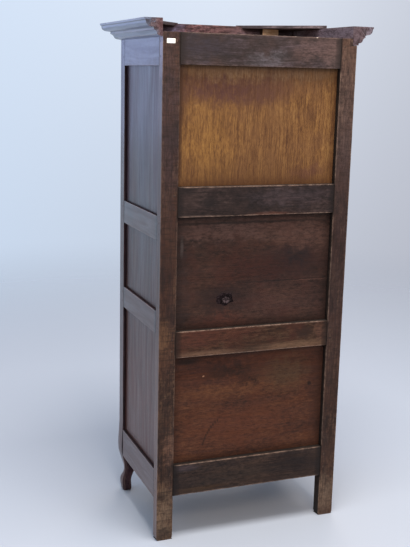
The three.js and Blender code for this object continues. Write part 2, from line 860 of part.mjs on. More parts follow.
// The half of a hinge on the post: a barrel with a turned tip below, the pin above and the leaf.
function hingePostHalf(z) {
  const point = z - hingeHalfHeight - hingeFinialHeight;
  const profile = [
    ...tipShares.map(([out, up]) => [out * hingeBarrelRadius, point + up * hingeFinialHeight]),
    [hingeBarrelRadius, z], [hingePinRadius, z], [hingePinRadius, z + hingePinHeight], [0, z + hingePinHeight],
  ];
  const barrel = turned(profile, barrelSides).translate([hingeAxisX, hingeAxisY, 0]);
  return barrel.add(block(postLeafBox(z)));
}

// The half of a hinge on the door: a bored barrel with a turned tip above, and the leaf.
function hingeDoorHalf(z) {
  const foot = z + fitGap;
  const point = z + hingeHalfHeight + hingeFinialHeight;
  const boreRadius = hingePinRadius + fitGap;
  const boreEnd = z + hingePinHeight + fitGap;
  const profile = [
    [0, boreEnd], [boreRadius, boreEnd], [boreRadius, foot], [hingeBarrelRadius, foot],
    ...tipShares.map(([out, up]) => [out * hingeBarrelRadius, point - up * hingeFinialHeight]).reverse(),
  ];
  const barrel = turned(profile, barrelSides).translate([hingeAxisX, hingeAxisY, 0]);
  const bore = rod(boreRadius, foot, boreEnd).translate([hingeAxisX, hingeAxisY, 0]);
  return barrel.add(block(doorLeafBox(z)).subtract(bore));
}

// The case of the lock: a shallow iron box, open towards the door, with a mouth for the bolt.
function lockCase() {
  const outer = span(
    [lockCaseOuterX, lockCaseOuterX + lockCaseWidth],
    [doorBackY, doorBackY + lockCaseDepth],
    [lockHeight - lockCaseHeight / 2, lockHeight + lockCaseHeight / 2],
  );
  const inner = grown(outer, -lockCaseWall, 0, -lockCaseWall);
  inner.min.y -= cutOverrun;
  inner.max.y -= lockCaseWall;
  const mouth = grown(boltBox(), fitGap);
  mouth.min.x -= cutOverrun;
  return cutAll(block(outer), [block(inner), block(mouth)]);
}

// The bolt, with the notch in its lower edge that the bit of the key pushes.
function lockBolt() {
  const notch = span(
    [talonX, talonX + talonWidth],
    [doorBackY, doorBackY + lockCaseDepth],
    [boltBottom - cutOverrun, boltBottom + talonDepth + 2 * fitGap],
  );
  return block(boltBox()).subtract(block(notch));
}

function lockKey() {
  const bowY = frontY - keyReach;
  const shankEnd = doorBackY + lockCaseDepth - lockCaseWall - fitGap;
  const shank = rodAlongY(shankRadius, keyX, lockHeight, bowY + bowHoleRadius, shankEnd);
  const collarEnd = frontY - escutcheonThickness - fitGap;
  const collar = rodAlongY(collarRadius, keyX, lockHeight, collarEnd - collarLength, collarEnd);
  const bit = block(span(
    [keyX - bitThickness / 2, keyX + bitThickness / 2],
    [boltMiddleY - bitDepth / 2, boltMiddleY + bitDepth / 2],
    [lockHeight - bitLength, lockHeight],
  ));
  return joinAll([shank, collar, bit, keyBow(bowY)]);
}

// The ring that the fingers hold, upright like the bit.
function keyBow(middleY) {
  const ring = new THREE.Shape().absarc(0, 0, bowRadius, 0, Math.PI * 2, false);
  ring.holes.push(new THREE.Path().absarc(0, 0, bowHoleRadius, 0, Math.PI * 2, true));
  const geometry = new THREE.ExtrudeGeometry(ring, { depth: bowThickness, bevelEnabled: false });
  geometry.translate(0, 0, -bowThickness / 2);
  geometry.rotateY(Math.PI / 2);
  geometry.translate(keyX, middleY, lockHeight);
  return solidOf(geometry);
}

// The escutcheon's right-hand outline from its foot to its head, as shares of its half width and height.
const escutcheonShares = [
  [0.14, 0.02], [0.34, 0.06], [0.22, 0.12], [0.4, 0.17], [0.78, 0.2], [1, 0.28], [0.82, 0.36], [0.6, 0.42],
  [0.62, 0.5], [0.82, 0.56], [1, 0.64], [0.94, 0.73], [0.66, 0.78], [0.36, 0.82], [0.46, 0.88], [0.3, 0.95], [0.1, 0.99],
];

function escutcheon() {
  const foot = lockHeight - escutcheonHeight / 2;
  const right = escutcheonShares.map(([out, up]) => [keyX + out * escutcheonWidth / 2, foot + up * escutcheonHeight]);
  const left = escutcheonShares.map(([out, up]) => [keyX - out * escutcheonWidth / 2, foot + up * escutcheonHeight]);
  const outline = polygon([...right, ...left.reverse()]);
  const plate = plateAlongY(outline, frontY - escutcheonThickness, frontY);
  return plate.subtract(keyhole(frontY - cutOverrun, frontY + cutOverrun));
}

const sides = [{ name: "right", sign: 1 }, { name: "left", sign: -1 }];

function addPosts(group) {
  for (const side of sides) {
    group.add(makeMesh(`rear_post_${side.name}`, rearPost(side.sign), oakRail));
    group.add(makeMesh(`front_post_${side.name}`, frontPost(side.sign), oakFront));
  }
}

function addBack(group) {
  for (const row of backRows) group.add(makeMesh(`back_rail_${row.name}`, backRail(row), oakRail));
  openingsBetween(backRows).forEach((opening, i) => {
    group.add(makeMesh(`back_panel_${opening.name}`, block(backPanelBoxes[i]), oakBack));
  });
}

function addSides(group) {
  for (const side of sides) {
    for (const row of sideRows) {
      group.add(makeMesh(`side_rail_${row.name}_${side.name}`, sideRail(row, side.sign), oakFront));
    }
    for (const opening of sideOpenings) {
      const panel = block(sidePanelBox(opening, side.sign));
      group.add(makeMesh(`side_panel_${opening.name}_${side.name}`, panel, oakFront));
    }
  }
}

function addInside(group) {
  group.add(makeMesh("bottom_board", notchedBoard(bottomBoardBox), oakInside));
  group.add(makeMesh("ceiling_board", notchedBoard(ceilingBox), oakInside));
  for (const row of [sideRows[1], sideRows[2]]) {
    group.add(makeMesh(`shelf_${row.name}`, shelf(row), oakInside));
    for (const side of sides) {
      group.add(makeMesh(`shelf_cleat_${row.name}_${side.name}`, shelfCleat(row, side.sign), oakInside));
    }
  }
}

function addCornice(group) {
  group.add(makeMesh("cornice_front", corniceFront(), oakFront));
  for (const side of sides) {
    group.add(makeMesh(`cornice_return_${side.name}`, corniceReturn(side.sign), oakFront));
  }
  group.add(makeMesh("cornice_gusset_left", corniceGusset(-1, gussetLegLeft), oakInside));
  group.add(makeMesh("cornice_gusset_right", corniceGusset(1, gussetLegRight), oakInside));
  group.add(makeMesh("cornice_glue_block", corniceGlueBlock(), palePine));
}

function addDoor(group) {
  group.add(makeMesh("door_stile_hinge", doorStile(1), oakFront));
  group.add(makeMesh("door_stile_lock", doorStile(-1), oakFront));
  for (const row of doorRows) group.add(makeMesh(`door_rail_${row.name}`, doorRail(row), oakFront));
  for (const opening of doorOpenings) {
    group.add(makeMesh(`door_panel_${opening.name}`, doorPanel(opening), oakFront));
  }
  for (const [name, z] of Object.entries(hingeHeights())) {
    group.add(makeMesh(`hinge_${name}_door_half`, hingeDoorHalf(z), darkIron));
  }
}

function addHingePins(group) {
  for (const [name, z] of Object.entries(hingeHeights())) {
    group.add(makeMesh(`hinge_${name}_post_half`, hingePostHalf(z), darkIron));
  }
}

function addLock(group) {
  group.add(makeMesh("lock_case", lockCase(), darkIron));
  group.add(makeMesh("lock_bolt", lockBolt(), darkIron));
  group.add(makeMesh("key", lockKey(), darkIron));
  group.add(makeMesh("escutcheon", escutcheon(), agedBrass));
}

function cupboard() {
  const whole = new THREE.Group();
  const carcass = new THREE.Group();
  const cornice = new THREE.Group();
  const door = new THREE.Group();
  addPosts(carcass);
  addBack(carcass);
  addSides(carcass);
  carcass.add(makeMesh("front_top_rail", frontTopRail(), oakFront));
  carcass.add(makeMesh("front_apron", frontApron(), oakFront));
  addInside(carcass);
  addHingePins(carcass);
  addCornice(cornice);
  addDoor(door);
  addLock(door);
  whole.add(carcass, cornice, door);
  whole.position.y = corniceOverhang / 2;
  return whole;
}

export default cupboard();
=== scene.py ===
"""Looks of a country bonnetiere: a tall, narrow oak cupboard with one door and a loose cornice.

Lengths are in metres unless a name says otherwise. The frame's axes are kept: +Z up, the door faces -Y,
and +X is to the right of someone facing the door.
"""

import json
import math
import random

import bmesh
import bpy
from bpy.props import FloatProperty, FloatVectorProperty, PointerProperty
from mathutils import Matrix, Vector, noise

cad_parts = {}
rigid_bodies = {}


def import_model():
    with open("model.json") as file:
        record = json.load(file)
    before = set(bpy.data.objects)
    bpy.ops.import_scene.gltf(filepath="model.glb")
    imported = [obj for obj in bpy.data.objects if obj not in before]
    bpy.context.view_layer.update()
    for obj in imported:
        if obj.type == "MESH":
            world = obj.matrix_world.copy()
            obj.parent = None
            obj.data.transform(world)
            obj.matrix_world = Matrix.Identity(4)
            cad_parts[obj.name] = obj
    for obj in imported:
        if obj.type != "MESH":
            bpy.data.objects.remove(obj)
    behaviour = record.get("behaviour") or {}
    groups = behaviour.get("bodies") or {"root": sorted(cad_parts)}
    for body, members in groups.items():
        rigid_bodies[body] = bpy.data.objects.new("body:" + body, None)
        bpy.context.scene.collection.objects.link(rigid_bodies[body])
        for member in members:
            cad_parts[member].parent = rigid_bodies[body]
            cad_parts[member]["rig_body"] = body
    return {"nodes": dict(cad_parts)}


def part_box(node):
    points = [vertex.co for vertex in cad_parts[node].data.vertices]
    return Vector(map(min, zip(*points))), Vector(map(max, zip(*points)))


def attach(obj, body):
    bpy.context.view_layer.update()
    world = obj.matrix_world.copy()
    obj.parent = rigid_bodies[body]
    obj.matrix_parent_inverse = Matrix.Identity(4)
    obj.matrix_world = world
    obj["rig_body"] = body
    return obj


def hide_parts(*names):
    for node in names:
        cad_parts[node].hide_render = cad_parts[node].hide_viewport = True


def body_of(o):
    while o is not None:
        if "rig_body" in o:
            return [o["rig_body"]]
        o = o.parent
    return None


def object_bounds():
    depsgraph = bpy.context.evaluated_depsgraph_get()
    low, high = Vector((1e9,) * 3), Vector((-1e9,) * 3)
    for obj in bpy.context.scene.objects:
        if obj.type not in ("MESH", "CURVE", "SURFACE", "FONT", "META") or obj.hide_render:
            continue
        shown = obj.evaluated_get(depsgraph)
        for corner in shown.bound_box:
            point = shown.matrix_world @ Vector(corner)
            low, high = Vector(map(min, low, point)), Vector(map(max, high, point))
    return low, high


bl_info = {
    "name": "Country bonnetiere",
    "version": (1, 0, 0),
    "blender": (4, 5, 0),
    "location": "View3D > Sidebar > Bonnetiere",
    "description": "Dresses the solids of a one-door oak cupboard as worn, waxed wood with iron fittings",
    "category": "Object",
}

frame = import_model()
CAD_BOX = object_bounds()
NODES = frame["nodes"]
MM = 0.001

# Most places are taken from these planes: the back of the posts, the front, the body's top and a side.
BACK_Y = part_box("rear_post_left")[1].y
FRONT_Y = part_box("front_top_rail")[0].y
BODY_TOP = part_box("rear_post_left")[1].z
SIDE_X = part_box("side_rail_top_right")[1].x

AXES = {"x": 0, "y": 1, "z": 2}
SIDES = {"left": -1, "right": 1}
ROWS = ("bottom", "lower", "upper", "top")
PANELS = {"lower": ("bottom", "lower"), "middle": ("lower", "upper"), "upper": ("upper", "top")}

# The sockets of a colour mix, by their number.
MIX_FACTOR, MIX_A, MIX_B, MIX_RESULT = 0, 6, 7, 2


def srgb(code):
    """The linear colour of an sRGB hex value."""
    channels = [int(code[i:i + 2], 16) / 255 for i in (0, 2, 4)]
    return tuple(c / 12.92 if c <= 0.04045 else ((c + 0.055) / 1.055) ** 2.4 for c in channels)


def opaque(tone):
    """The linear colour, with its alpha, of an sRGB hex value or of a colour that the settings name."""
    return (*(COLOURS[tone] if tone in COLOURS else srgb(tone)), 1.0)


def colour(name, description, code):
    """A setting that holds a colour."""
    return FloatVectorProperty(
        name=name, description=description, default=srgb(code), size=3, subtype="COLOR", min=0, max=1,
    )


def length(name, description, millimetres):
    """A setting that holds a length."""
    return FloatProperty(
        name=name, description=description, default=millimetres * MM, min=0, precision=4,
        subtype="DISTANCE", unit="LENGTH",
    )


class BonnetiereSizes(bpy.types.PropertyGroup):
    """Fine sizes of the dressing."""

    arris: length("Worn arris", "Radius of a worn edge of a rail or post", 1.8)
    fine_arris: length("Fine arris", "Radius of an edge of a thin board or moulding", 0.7)
    hollow: length("Plane hollow", "Depth of the hollows that the hand plane left", 0.5)
    cell: length("Cell", "Spacing of the points that carry the hollows", 24.0)
    peg: length("Peg", "Diameter of a joint's wooden peg", 9.0)
    label_width: length("Label width", "Width of the paper label", 31.0)
    label_height: length("Label height", "Height of the paper label", 16.0)
    ring: length("Ring width", "Width of one year of the oak's growth", 4.5)
    pore: length("Pore width", "Width of the dashes that open pores draw, coarser than real ones", 2.2)
    pore_length: length("Pore length", "Length of the dashes that open pores draw", 22.0)


class BonnetiereColours(bpy.types.PropertyGroup):
    """Middle tones of the finishes."""

    golden: colour("Golden oak", "Clean sawn oak of the upper back panel", "724f2b")
    umber: colour("Umber oak", "Oiled brown of the middle back panel", "311f19")
    russet: colour("Russet oak", "Reddish brown of the lower back panel", "46281b")
    stained: colour("Stained oak", "Grey brown of the rear posts", "37251e")
    waxed: colour("Waxed oak", "Dark wax on the show faces", "3f271e")
    raw: colour("Raw oak", "Dry oak inside the cupboard", "735540")
    pine: colour("Sawn pine", "The glue block behind the cornice", "e2c6a8")
    iron: colour("Forged iron", "Hinges, lock, key and nails", "3a3532")
    brass: colour("Cast brass", "The key plate", "9a7942")
    paper: colour("Paper", "The label", "f4f4f2")
    floor: colour("Floor", "The pale studio floor", "a9b0bc")


SIZES = {}
COLOURS = {}


def setting_names(group):
    """The names of a property group's own settings."""
    return [key for key in group.bl_rna.properties.keys() if key not in ("rna_type", "name")]


def read_settings():
    """Copies the property groups, so that pieces and finishes find sizes and linear colours by name."""
    scene = bpy.context.scene
    for group, store in ((scene.bonnetiere_sizes, SIZES), (scene.bonnetiere_colours, COLOURS)):
        for key in setting_names(group):
            value = getattr(group, key)
            store[key] = value if isinstance(value, float) else tuple(value)


def add_node(tree, kind, settings=None, links=None):
    """Adds a shader node; settings are its attributes or input values, and links are input to socket."""
    node = tree.nodes.new("ShaderNode" + kind)
    for key, value in (settings or {}).items():
        if isinstance(key, str) and hasattr(node, key):
            setattr(node, key, value)
        else:
            node.inputs[key].default_value = value
    for key, socket in (links or {}).items():
        tree.links.new(socket, node.inputs[key])
    return node


def new_finish(name):
    """An empty material; returns it with its node tree and the place of each point of the object."""
    material = bpy.data.materials.new(name)
    material.use_nodes = True
    tree = material.node_tree
    tree.nodes.clear()
    return material, tree, add_node(tree, "TexCoord").outputs["Object"]


def add_surface(material, settings, links):
    """Closes a material with its surface node and returns it."""
    tree = material.node_tree
    surface = add_node(tree, "BsdfPrincipled", settings, links)
    add_node(tree, "OutputMaterial", links={"Surface": surface.outputs["BSDF"]})
    return material


def lay_tones(tree, tint, layers):
    """Lays tones over a socket, a hex value or a named colour, in turn, each where its share is high."""
    for tone, share in layers:
        settings, links = {"data_type": "RGBA", MIX_B: opaque(tone)}, {MIX_FACTOR: share}
        if isinstance(tint, str):
            settings[MIX_A] = opaque(tint)
        else:
            links[MIX_A] = tint
        tint = add_node(tree, "Mix", settings, links).outputs[MIX_RESULT]
    return tint


# How far the outline of a stain or painted mark wanders, and the half width under which it counts as small.
LARGE_RAG = 140 * MM
SMALL_RAG = 12 * MM
SMALL_STAIN = 20 * MM

# Sizes of oak's patterns: how often the trunk bends and how far, clouds of stain as large as a hand, spots as
# large as a fingertip, patches of a second hue, ragged outlines, and a pit saw's marks across the grain.
BENDS = (6.0, 6.0, 2.2)
BEND = 50 * MM
CLOUD_STRETCH = (1.0, 1.0, 0.45)
CLOUD, SPOT, HUE_PATCH, RAG = 130 * MM, 11 * MM, 85 * MM, 34 * MM
SAW_MARK = (1 / (38 * MM), 1 / (38 * MM), 1 / (5 * MM))

# How far painted shade reaches in from a panel's frame and how dark dirt and painted shade lie in a nook, how
# deep the bumps are and how far a pore sinks against a streak, the roughness of wax, and the darkest and
# palest sums of patterns.
SHADE_REACH = 40 * MM
NOOK_DIRT_AND_SHADE = 0.9
PORE_RELIEF = 0.6 * MM
PORE_SINK = 0.8
COAT_ROUGHNESS = 0.28
DARKEST_SUM, PALEST_SUM = 0.29, 0.71


def oak(
    name, tones, hue, stains_and_painted_light=(), hue_share=0.5, roughness=0.72, streaks=0.4, clouds=0.7, mottle=0.35,
    pores=0.4, lines=0.3, saw=0.0, patches=0.35, worn="8f7769", wear=0.5, shadow=0.0, gloss=0.22, coat=0.0,
    relief=0.35,
):
    """Oak along its grain. tones runs from the darkest to the palest, and hue is a second stain in patches.

    The grain attribute holds each point's place across, through and along its board, so that streaks and
    pores run with the fibres whichever way the board lies. Pores are drawn coarser than life, to show.
    """
    material, tree, place = new_finish(name)
    grain, edge, nook, arris = (
        add_node(tree, "Attribute", {"attribute_name": key}).outputs[output]
        for key, output in (("grain", "Vector"), ("edge", "Fac"), ("nook", "Fac"), ("arris", "Fac"))
    )

    # The trunk's slow bends, which keep the streaks from being ruled lines.
    slow = add_node(tree, "Mapping", {"Scale": BENDS}, {"Vector": grain})
    bend = add_node(tree, "TexNoise", {"Scale": 1.0, "Detail": 2.0}, {"Vector": slow.outputs[0]})
    bent = add_node(tree, "VectorMath", {
        "operation": "MULTIPLY_ADD", 1: (BEND, BEND, 0.0),
    }, {0: bend.outputs["Color"], 2: grain}).outputs[0]

    # Years of growth as long streaks, some as wide as a finger; pores; uneven stain; saw marks.
    ring, pore = SIZES["ring"], SIZES["pore"]
    noises = {}
    for key, source, stretch, scale, detail, rough, distortion in (
        ("streak", bent, (1 / ring, 1 / ring, 0.03 / ring), 1.0, 5.0, 0.6, 0.0),
        ("figure", bent, (0.22 / ring, 0.22 / ring, 0.016 / ring), 1.0, 3.0, 0.5, 0.6),
        ("pore", bent, (1 / pore, 1 / pore, 1 / SIZES["pore_length"]), 1.0, 1.0, 0.5, 0.0),
        ("cloud", grain, CLOUD_STRETCH, 1 / CLOUD, 6.0, 0.62, 0.5),
        ("spots", grain, CLOUD_STRETCH, 1 / SPOT, 4.0, 0.8, 0.0),
        ("saw", grain, SAW_MARK, 1.0, 3.0, 0.5, 0.0),
        ("hue", place, (1.0, 1.0, 1.0), 1 / HUE_PATCH, 4.0, 0.6, 0.0),
    ):
        stretched = add_node(tree, "Mapping", {"Scale": stretch}, {"Vector": source})
        noises[key] = add_node(tree, "TexNoise", {
            "Scale": scale, "Detail": detail, "Roughness": rough, "Distortion": distortion,
        }, {"Vector": stretched.outputs[0]}).outputs["Fac"]

    # Each row takes a pattern between two of its values to a share between two others.
    spots = noises["spots"]
    shares = {}
    for key, source, start, end, low, high, easing in (
        ("pore", noises["pore"], 0.52, 0.68, 0.0, 1.0, "LINEAR"),
        ("speckle", spots, 0.3, 0.7, 0.0, 1.0, "LINEAR"),
        ("hue", noises["hue"], 0.42, 0.66, 0.0, hue_share, "SMOOTHSTEP"),
        ("patchy", spots, 0.36, 0.56, patches, 1.0, "LINEAR"),
        ("lines", noises["streak"], 0.52, 0.38, 0.0, lines, "LINEAR"),
        ("saw", noises["saw"], 0.48, 0.66, 0.0, saw, "LINEAR"),
        ("edge", edge, 0.0, SHADE_REACH, shadow, 0.0, "SMOOTHSTEP"),
        ("rubbed", spots, 0.38, 0.6, 0.15 * wear, wear, "LINEAR"),
        ("matt", noises["figure"], 0.3, 0.75, roughness - 0.12, roughness + 0.16, "LINEAR"),
    ):
        shares[key] = add_node(tree, "MapRange", {
            "interpolation_type": easing, "From Min": start, "From Max": end, "To Min": low, "To Max": high,
        }, {"Value": source}).outputs["Result"]

    # Each pattern is centred on zero and weighed, so that the middle tone stays the commonest. The sum starts
    # at a half, the value of the first node's open input.
    value = None
    for pattern, weight in (
        (noises["streak"], streaks), (noises["figure"], streaks), (noises["cloud"], clouds),
        (shares["speckle"], mottle),
    ):
        links = {0: pattern} if value is None else {0: pattern, 2: value}
        raised = add_node(tree, "Math", {"operation": "MULTIPLY_ADD", 1: weight, 2: 0.5}, links)
        lowered = add_node(tree, "Math", {"operation": "SUBTRACT", 1: weight / 2}, {0: raised.outputs[0]})
        value = lowered.outputs[0]
    contrast = add_node(tree, "MapRange", {"From Min": DARKEST_SUM, "From Max": PALEST_SUM}, {"Value": value})
    ramp = add_node(tree, "ValToRGB", links={"Fac": contrast.outputs["Result"]})
    stops = ramp.color_ramp.elements
    while len(stops) < len(tones):
        stops.new(0.5)
    for index, tone in enumerate(tones):
        stops[index].position = index / (len(tones) - 1)
        stops[index].color = opaque(tone)

    # Over the ramp come the second stain, the finish's own stains and painted light, pores, dirt and painted
    # shade, and wear. These marks have ragged outlines at the size of a finger, and the large ones take in
    # patches.
    layers = [(hue, shares["hue"])]
    if stains_and_painted_light:
        rag = add_node(tree, "TexNoise", {
            "Scale": 1 / RAG, "Detail": 5.0, "Roughness": 0.7,
        }, {"Vector": place})
        centred = add_node(tree, "VectorMath", {
            "operation": "SUBTRACT", 1: (0.5, 0.5, 0.5),
        }, {0: rag.outputs["Color"]}).outputs[0]
        ragged = {
            size: add_node(tree, "VectorMath", {
                "operation": "MULTIPLY_ADD", 1: (size, size, size),
            }, {0: centred, 2: place}).outputs[0] for size in (LARGE_RAG, SMALL_RAG)
        }
    for stain in stains_and_painted_light:
        centre, reach, tone, *fade = stain if isinstance(stain[0], Vector) else back_stain(*stain)
        size = SMALL_RAG if min(reach) < SMALL_STAIN else LARGE_RAG
        share = stain_share(tree, ragged[size], centre, reach, *fade)
        if size == LARGE_RAG:
            patch = add_node(tree, "Math", {"operation": "MULTIPLY"}, {0: share, 1: shares["patchy"]})
            share = patch.outputs[0]
        layers.append((tone, share))

    # Pores, the dark side of each year and saw marks show through stains. Painted shade darkens a panel along
    # its frame, dirt and painted shade darken nooks, and hands rub an arris down to paler wood, unevenly
    # along its length.
    pore_share = add_node(tree, "Math", {"operation": "MULTIPLY", 1: pores}, {0: shares["pore"]}).outputs[0]
    thick = add_node(tree, "Math", {"operation": "POWER", 1: 0.5}, {0: nook}).outputs[0]
    dirt_and_shade = add_node(tree, "Math", {"operation": "MULTIPLY", 1: NOOK_DIRT_AND_SHADE}, {0: thick}).outputs[0]
    dark = (pore_share, shares["lines"], shares["saw"], shares["edge"], dirt_and_shade)
    layers += [(tones[0], share) for share in dark]
    rubbed = add_node(tree, "Math", {"operation": "MULTIPLY"}, {0: arris, 1: shares["rubbed"]}).outputs[0]
    tint = lay_tones(tree, ramp.outputs["Color"], [*layers, (worn, rubbed)])

    height = add_node(tree, "Math", {
        "operation": "MULTIPLY_ADD", 1: -PORE_SINK,
    }, {0: shares["pore"], 2: noises["streak"]}).outputs[0]
    bump = add_node(tree, "Bump", {"Strength": relief, "Distance": PORE_RELIEF}, {"Height": height})
    return add_surface(
        material, {"Specular IOR Level": gloss, "Coat Weight": coat, "Coat Roughness": COAT_ROUGHNESS},
        {"Base Color": tint, "Roughness": shares["matt"], "Normal": bump.outputs["Normal"]},
    )


def stain_share(tree, ragged, centre, reach, strength, softness):
    """Strength inside an ellipsoid about centre, 0 outside; softness is the share of its reach that fades."""
    offset = add_node(tree, "VectorMath", {"operation": "SUBTRACT", 1: centre}, {0: ragged})
    scaled = add_node(tree, "VectorMath", {"operation": "DIVIDE", 1: reach}, {0: offset.outputs[0]})
    distance = add_node(tree, "VectorMath", {"operation": "LENGTH"}, {0: scaled.outputs[0]})
    return add_node(tree, "MapRange", {
        "interpolation_type": "SMOOTHSTEP", "From Min": 1 - softness, "From Max": 1 + softness,
        "To Min": strength, "To Max": 0.0,
    }, {"Value": distance.outputs["Value"]}).outputs["Result"]


# Millimetres that take a stain or painted mark right through any board, and the depth of a bruise.
THROUGH = 1000.0
CHIP_DEPTH = 5.0


def back_stain(x, z, half_width, half_height, tone, strength=0.7, softness=0.6):
    """A stain, painted shadow or painted light on the back, placed in millimetres seen from the front; it
    goes right through the board.
    """
    return Vector((x, 0.0, z)) * MM, Vector((half_width, THROUGH, half_height)) * MM, tone, strength, softness


def chip(x, z, half_width, half_height):
    """A pale bruise no deeper than the skin of the back, placed in millimetres seen from the front."""
    centre = Vector((x * MM, BACK_Y, z * MM))
    return centre, Vector((half_width, CHIP_DEPTH, half_height)) * MM, "c8b8a8", 0.85, 0.4


FINISHES = {}


def finish_of(name):
    """The finish of that name, made when it is first asked for."""
    if name not in FINISHES:
        maker, settings = RECIPES[name]
        FINISHES[name] = maker(name, **settings)
    return FINISHES[name]


# Points nearer than WELD are one, edges sharper than SHARP are rounded, and faces that turn by less than
# FLAT are one. Cuts keep BAND away from each edge, and boards nearer than JOINT_REACH touch.
WELD = 0.01 * MM
NO_LENGTH = WELD / 10
SHARP = math.radians(28)
FLAT = math.radians(1)
BAND = 3.5 * MM
JOINT_REACH = 4 * MM

# Lengths across and along the grain of the plane's hollows and of the wear on an edge, the share of a
# hollow's depth that is there everywhere, and the height of the wave from which an edge is worn.
HOLLOW_WAVE = (0.05, 0.22)
WEAR_WAVE = (0.03, 0.04)
LEAST_HOLLOW = 0.3
WEAR_FROM = 0.45

# How squarely a face must look along the grain to be end grain, or another way to take that side's finish,
# and how squarely across it an edge's faces must look for the edge to be rubbed.
END_GRAIN = 0.85
FACING = 0.6
ACROSS = 0.3

# Where each side of a board looks; outer and inner are turned round on the left of the cupboard.
DIRECTIONS = {
    "front": (0, -1, 0), "back": (0, 1, 0), "top": (0, 0, 1), "under": (0, 0, -1),
    "outer": (1, 0, 0), "inner": (-1, 0, 0),
}


def spread(low, high, step):
    """Places between low and high about a step apart, ends left out."""
    count = max(1, round((high - low) / step))
    return [low + (high - low) * index / count for index in range(1, count)]


def waves(point, seed, wave, axis):
    """Smooth noise from 0 to 1, whose wave is a length across the axis and one along it."""
    scaled = Vector([point[i] / wave[i == axis] for i in range(3)])
    return 0.5 + 0.5 * noise.noise(scaled + seed)


def neighbours(node):
    """The boxes of the other nodes of the same body that touch a node's box."""
    low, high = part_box(node)
    body = body_of(NODES[node])
    boxes = [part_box(other) for other in NODES if other != node and body_of(NODES[other]) == body]
    return [
        (near, far) for near, far in boxes
        if all(near[i] < high[i] + JOINT_REACH and far[i] > low[i] - JOINT_REACH for i in range(3))
    ]


def at_joint(point, normal, boxes):
    """True where a board's edge lies against another board, so that nothing can rub it."""
    for axis in range(3):
        if abs(normal[axis]) > 0.1:
            probe = point - normal * JOINT_REACH
            probe[axis] = point[axis] + math.copysign(JOINT_REACH, normal[axis])
            if any(all(near[i] < probe[i] < far[i] for i in range(3)) for near, far in boxes):
                return True
    return False


def write_grain(mesh, axis, seed):
    """Stores each point's place across, through and along its board, moved to its own part of the tree."""
    others = [i for i in range(3) if i != axis]
    layer = mesh.attributes.new("grain", "FLOAT_VECTOR", "POINT")
    for vertex, item in zip(mesh.vertices, layer.data):
        item.vector = Vector((vertex.co[others[0]], vertex.co[others[1]], vertex.co[axis])) + seed


def write_edge(mesh, opening):
    """Stores each point's distance from the nearest side of the opening that a panel fills."""
    low, high = opening
    layer = mesh.attributes.new("edge", "FLOAT", "POINT")
    for vertex, item in zip(mesh.vertices, layer.data):
        gaps = [min(vertex.co[i] - low[i], high[i] - vertex.co[i]) for i in range(3) if high[i] > low[i]]
        item.value = max(0.0, min(gaps))


def add_piece(name, form, finishes, body):
    """Turns a bmesh into a smooth piece that rides on a body, with its finishes."""
    mesh = bpy.data.meshes.new(name)
    form.to_mesh(mesh)
    form.free()
    for finish in finishes:
        mesh.materials.append(finish_of(finish))
    mesh.shade_smooth()
    piece = bpy.data.objects.new(name, mesh)
    bpy.context.scene.collection.objects.link(piece)
    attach(piece, body)
    return piece


def weigh_normals(piece):
    """Large faces keep their flat look next to narrow rounded ones."""
    modifier = piece.modifiers.new("flat faces lead", "WEIGHTED_NORMAL")
    modifier.weight = 60


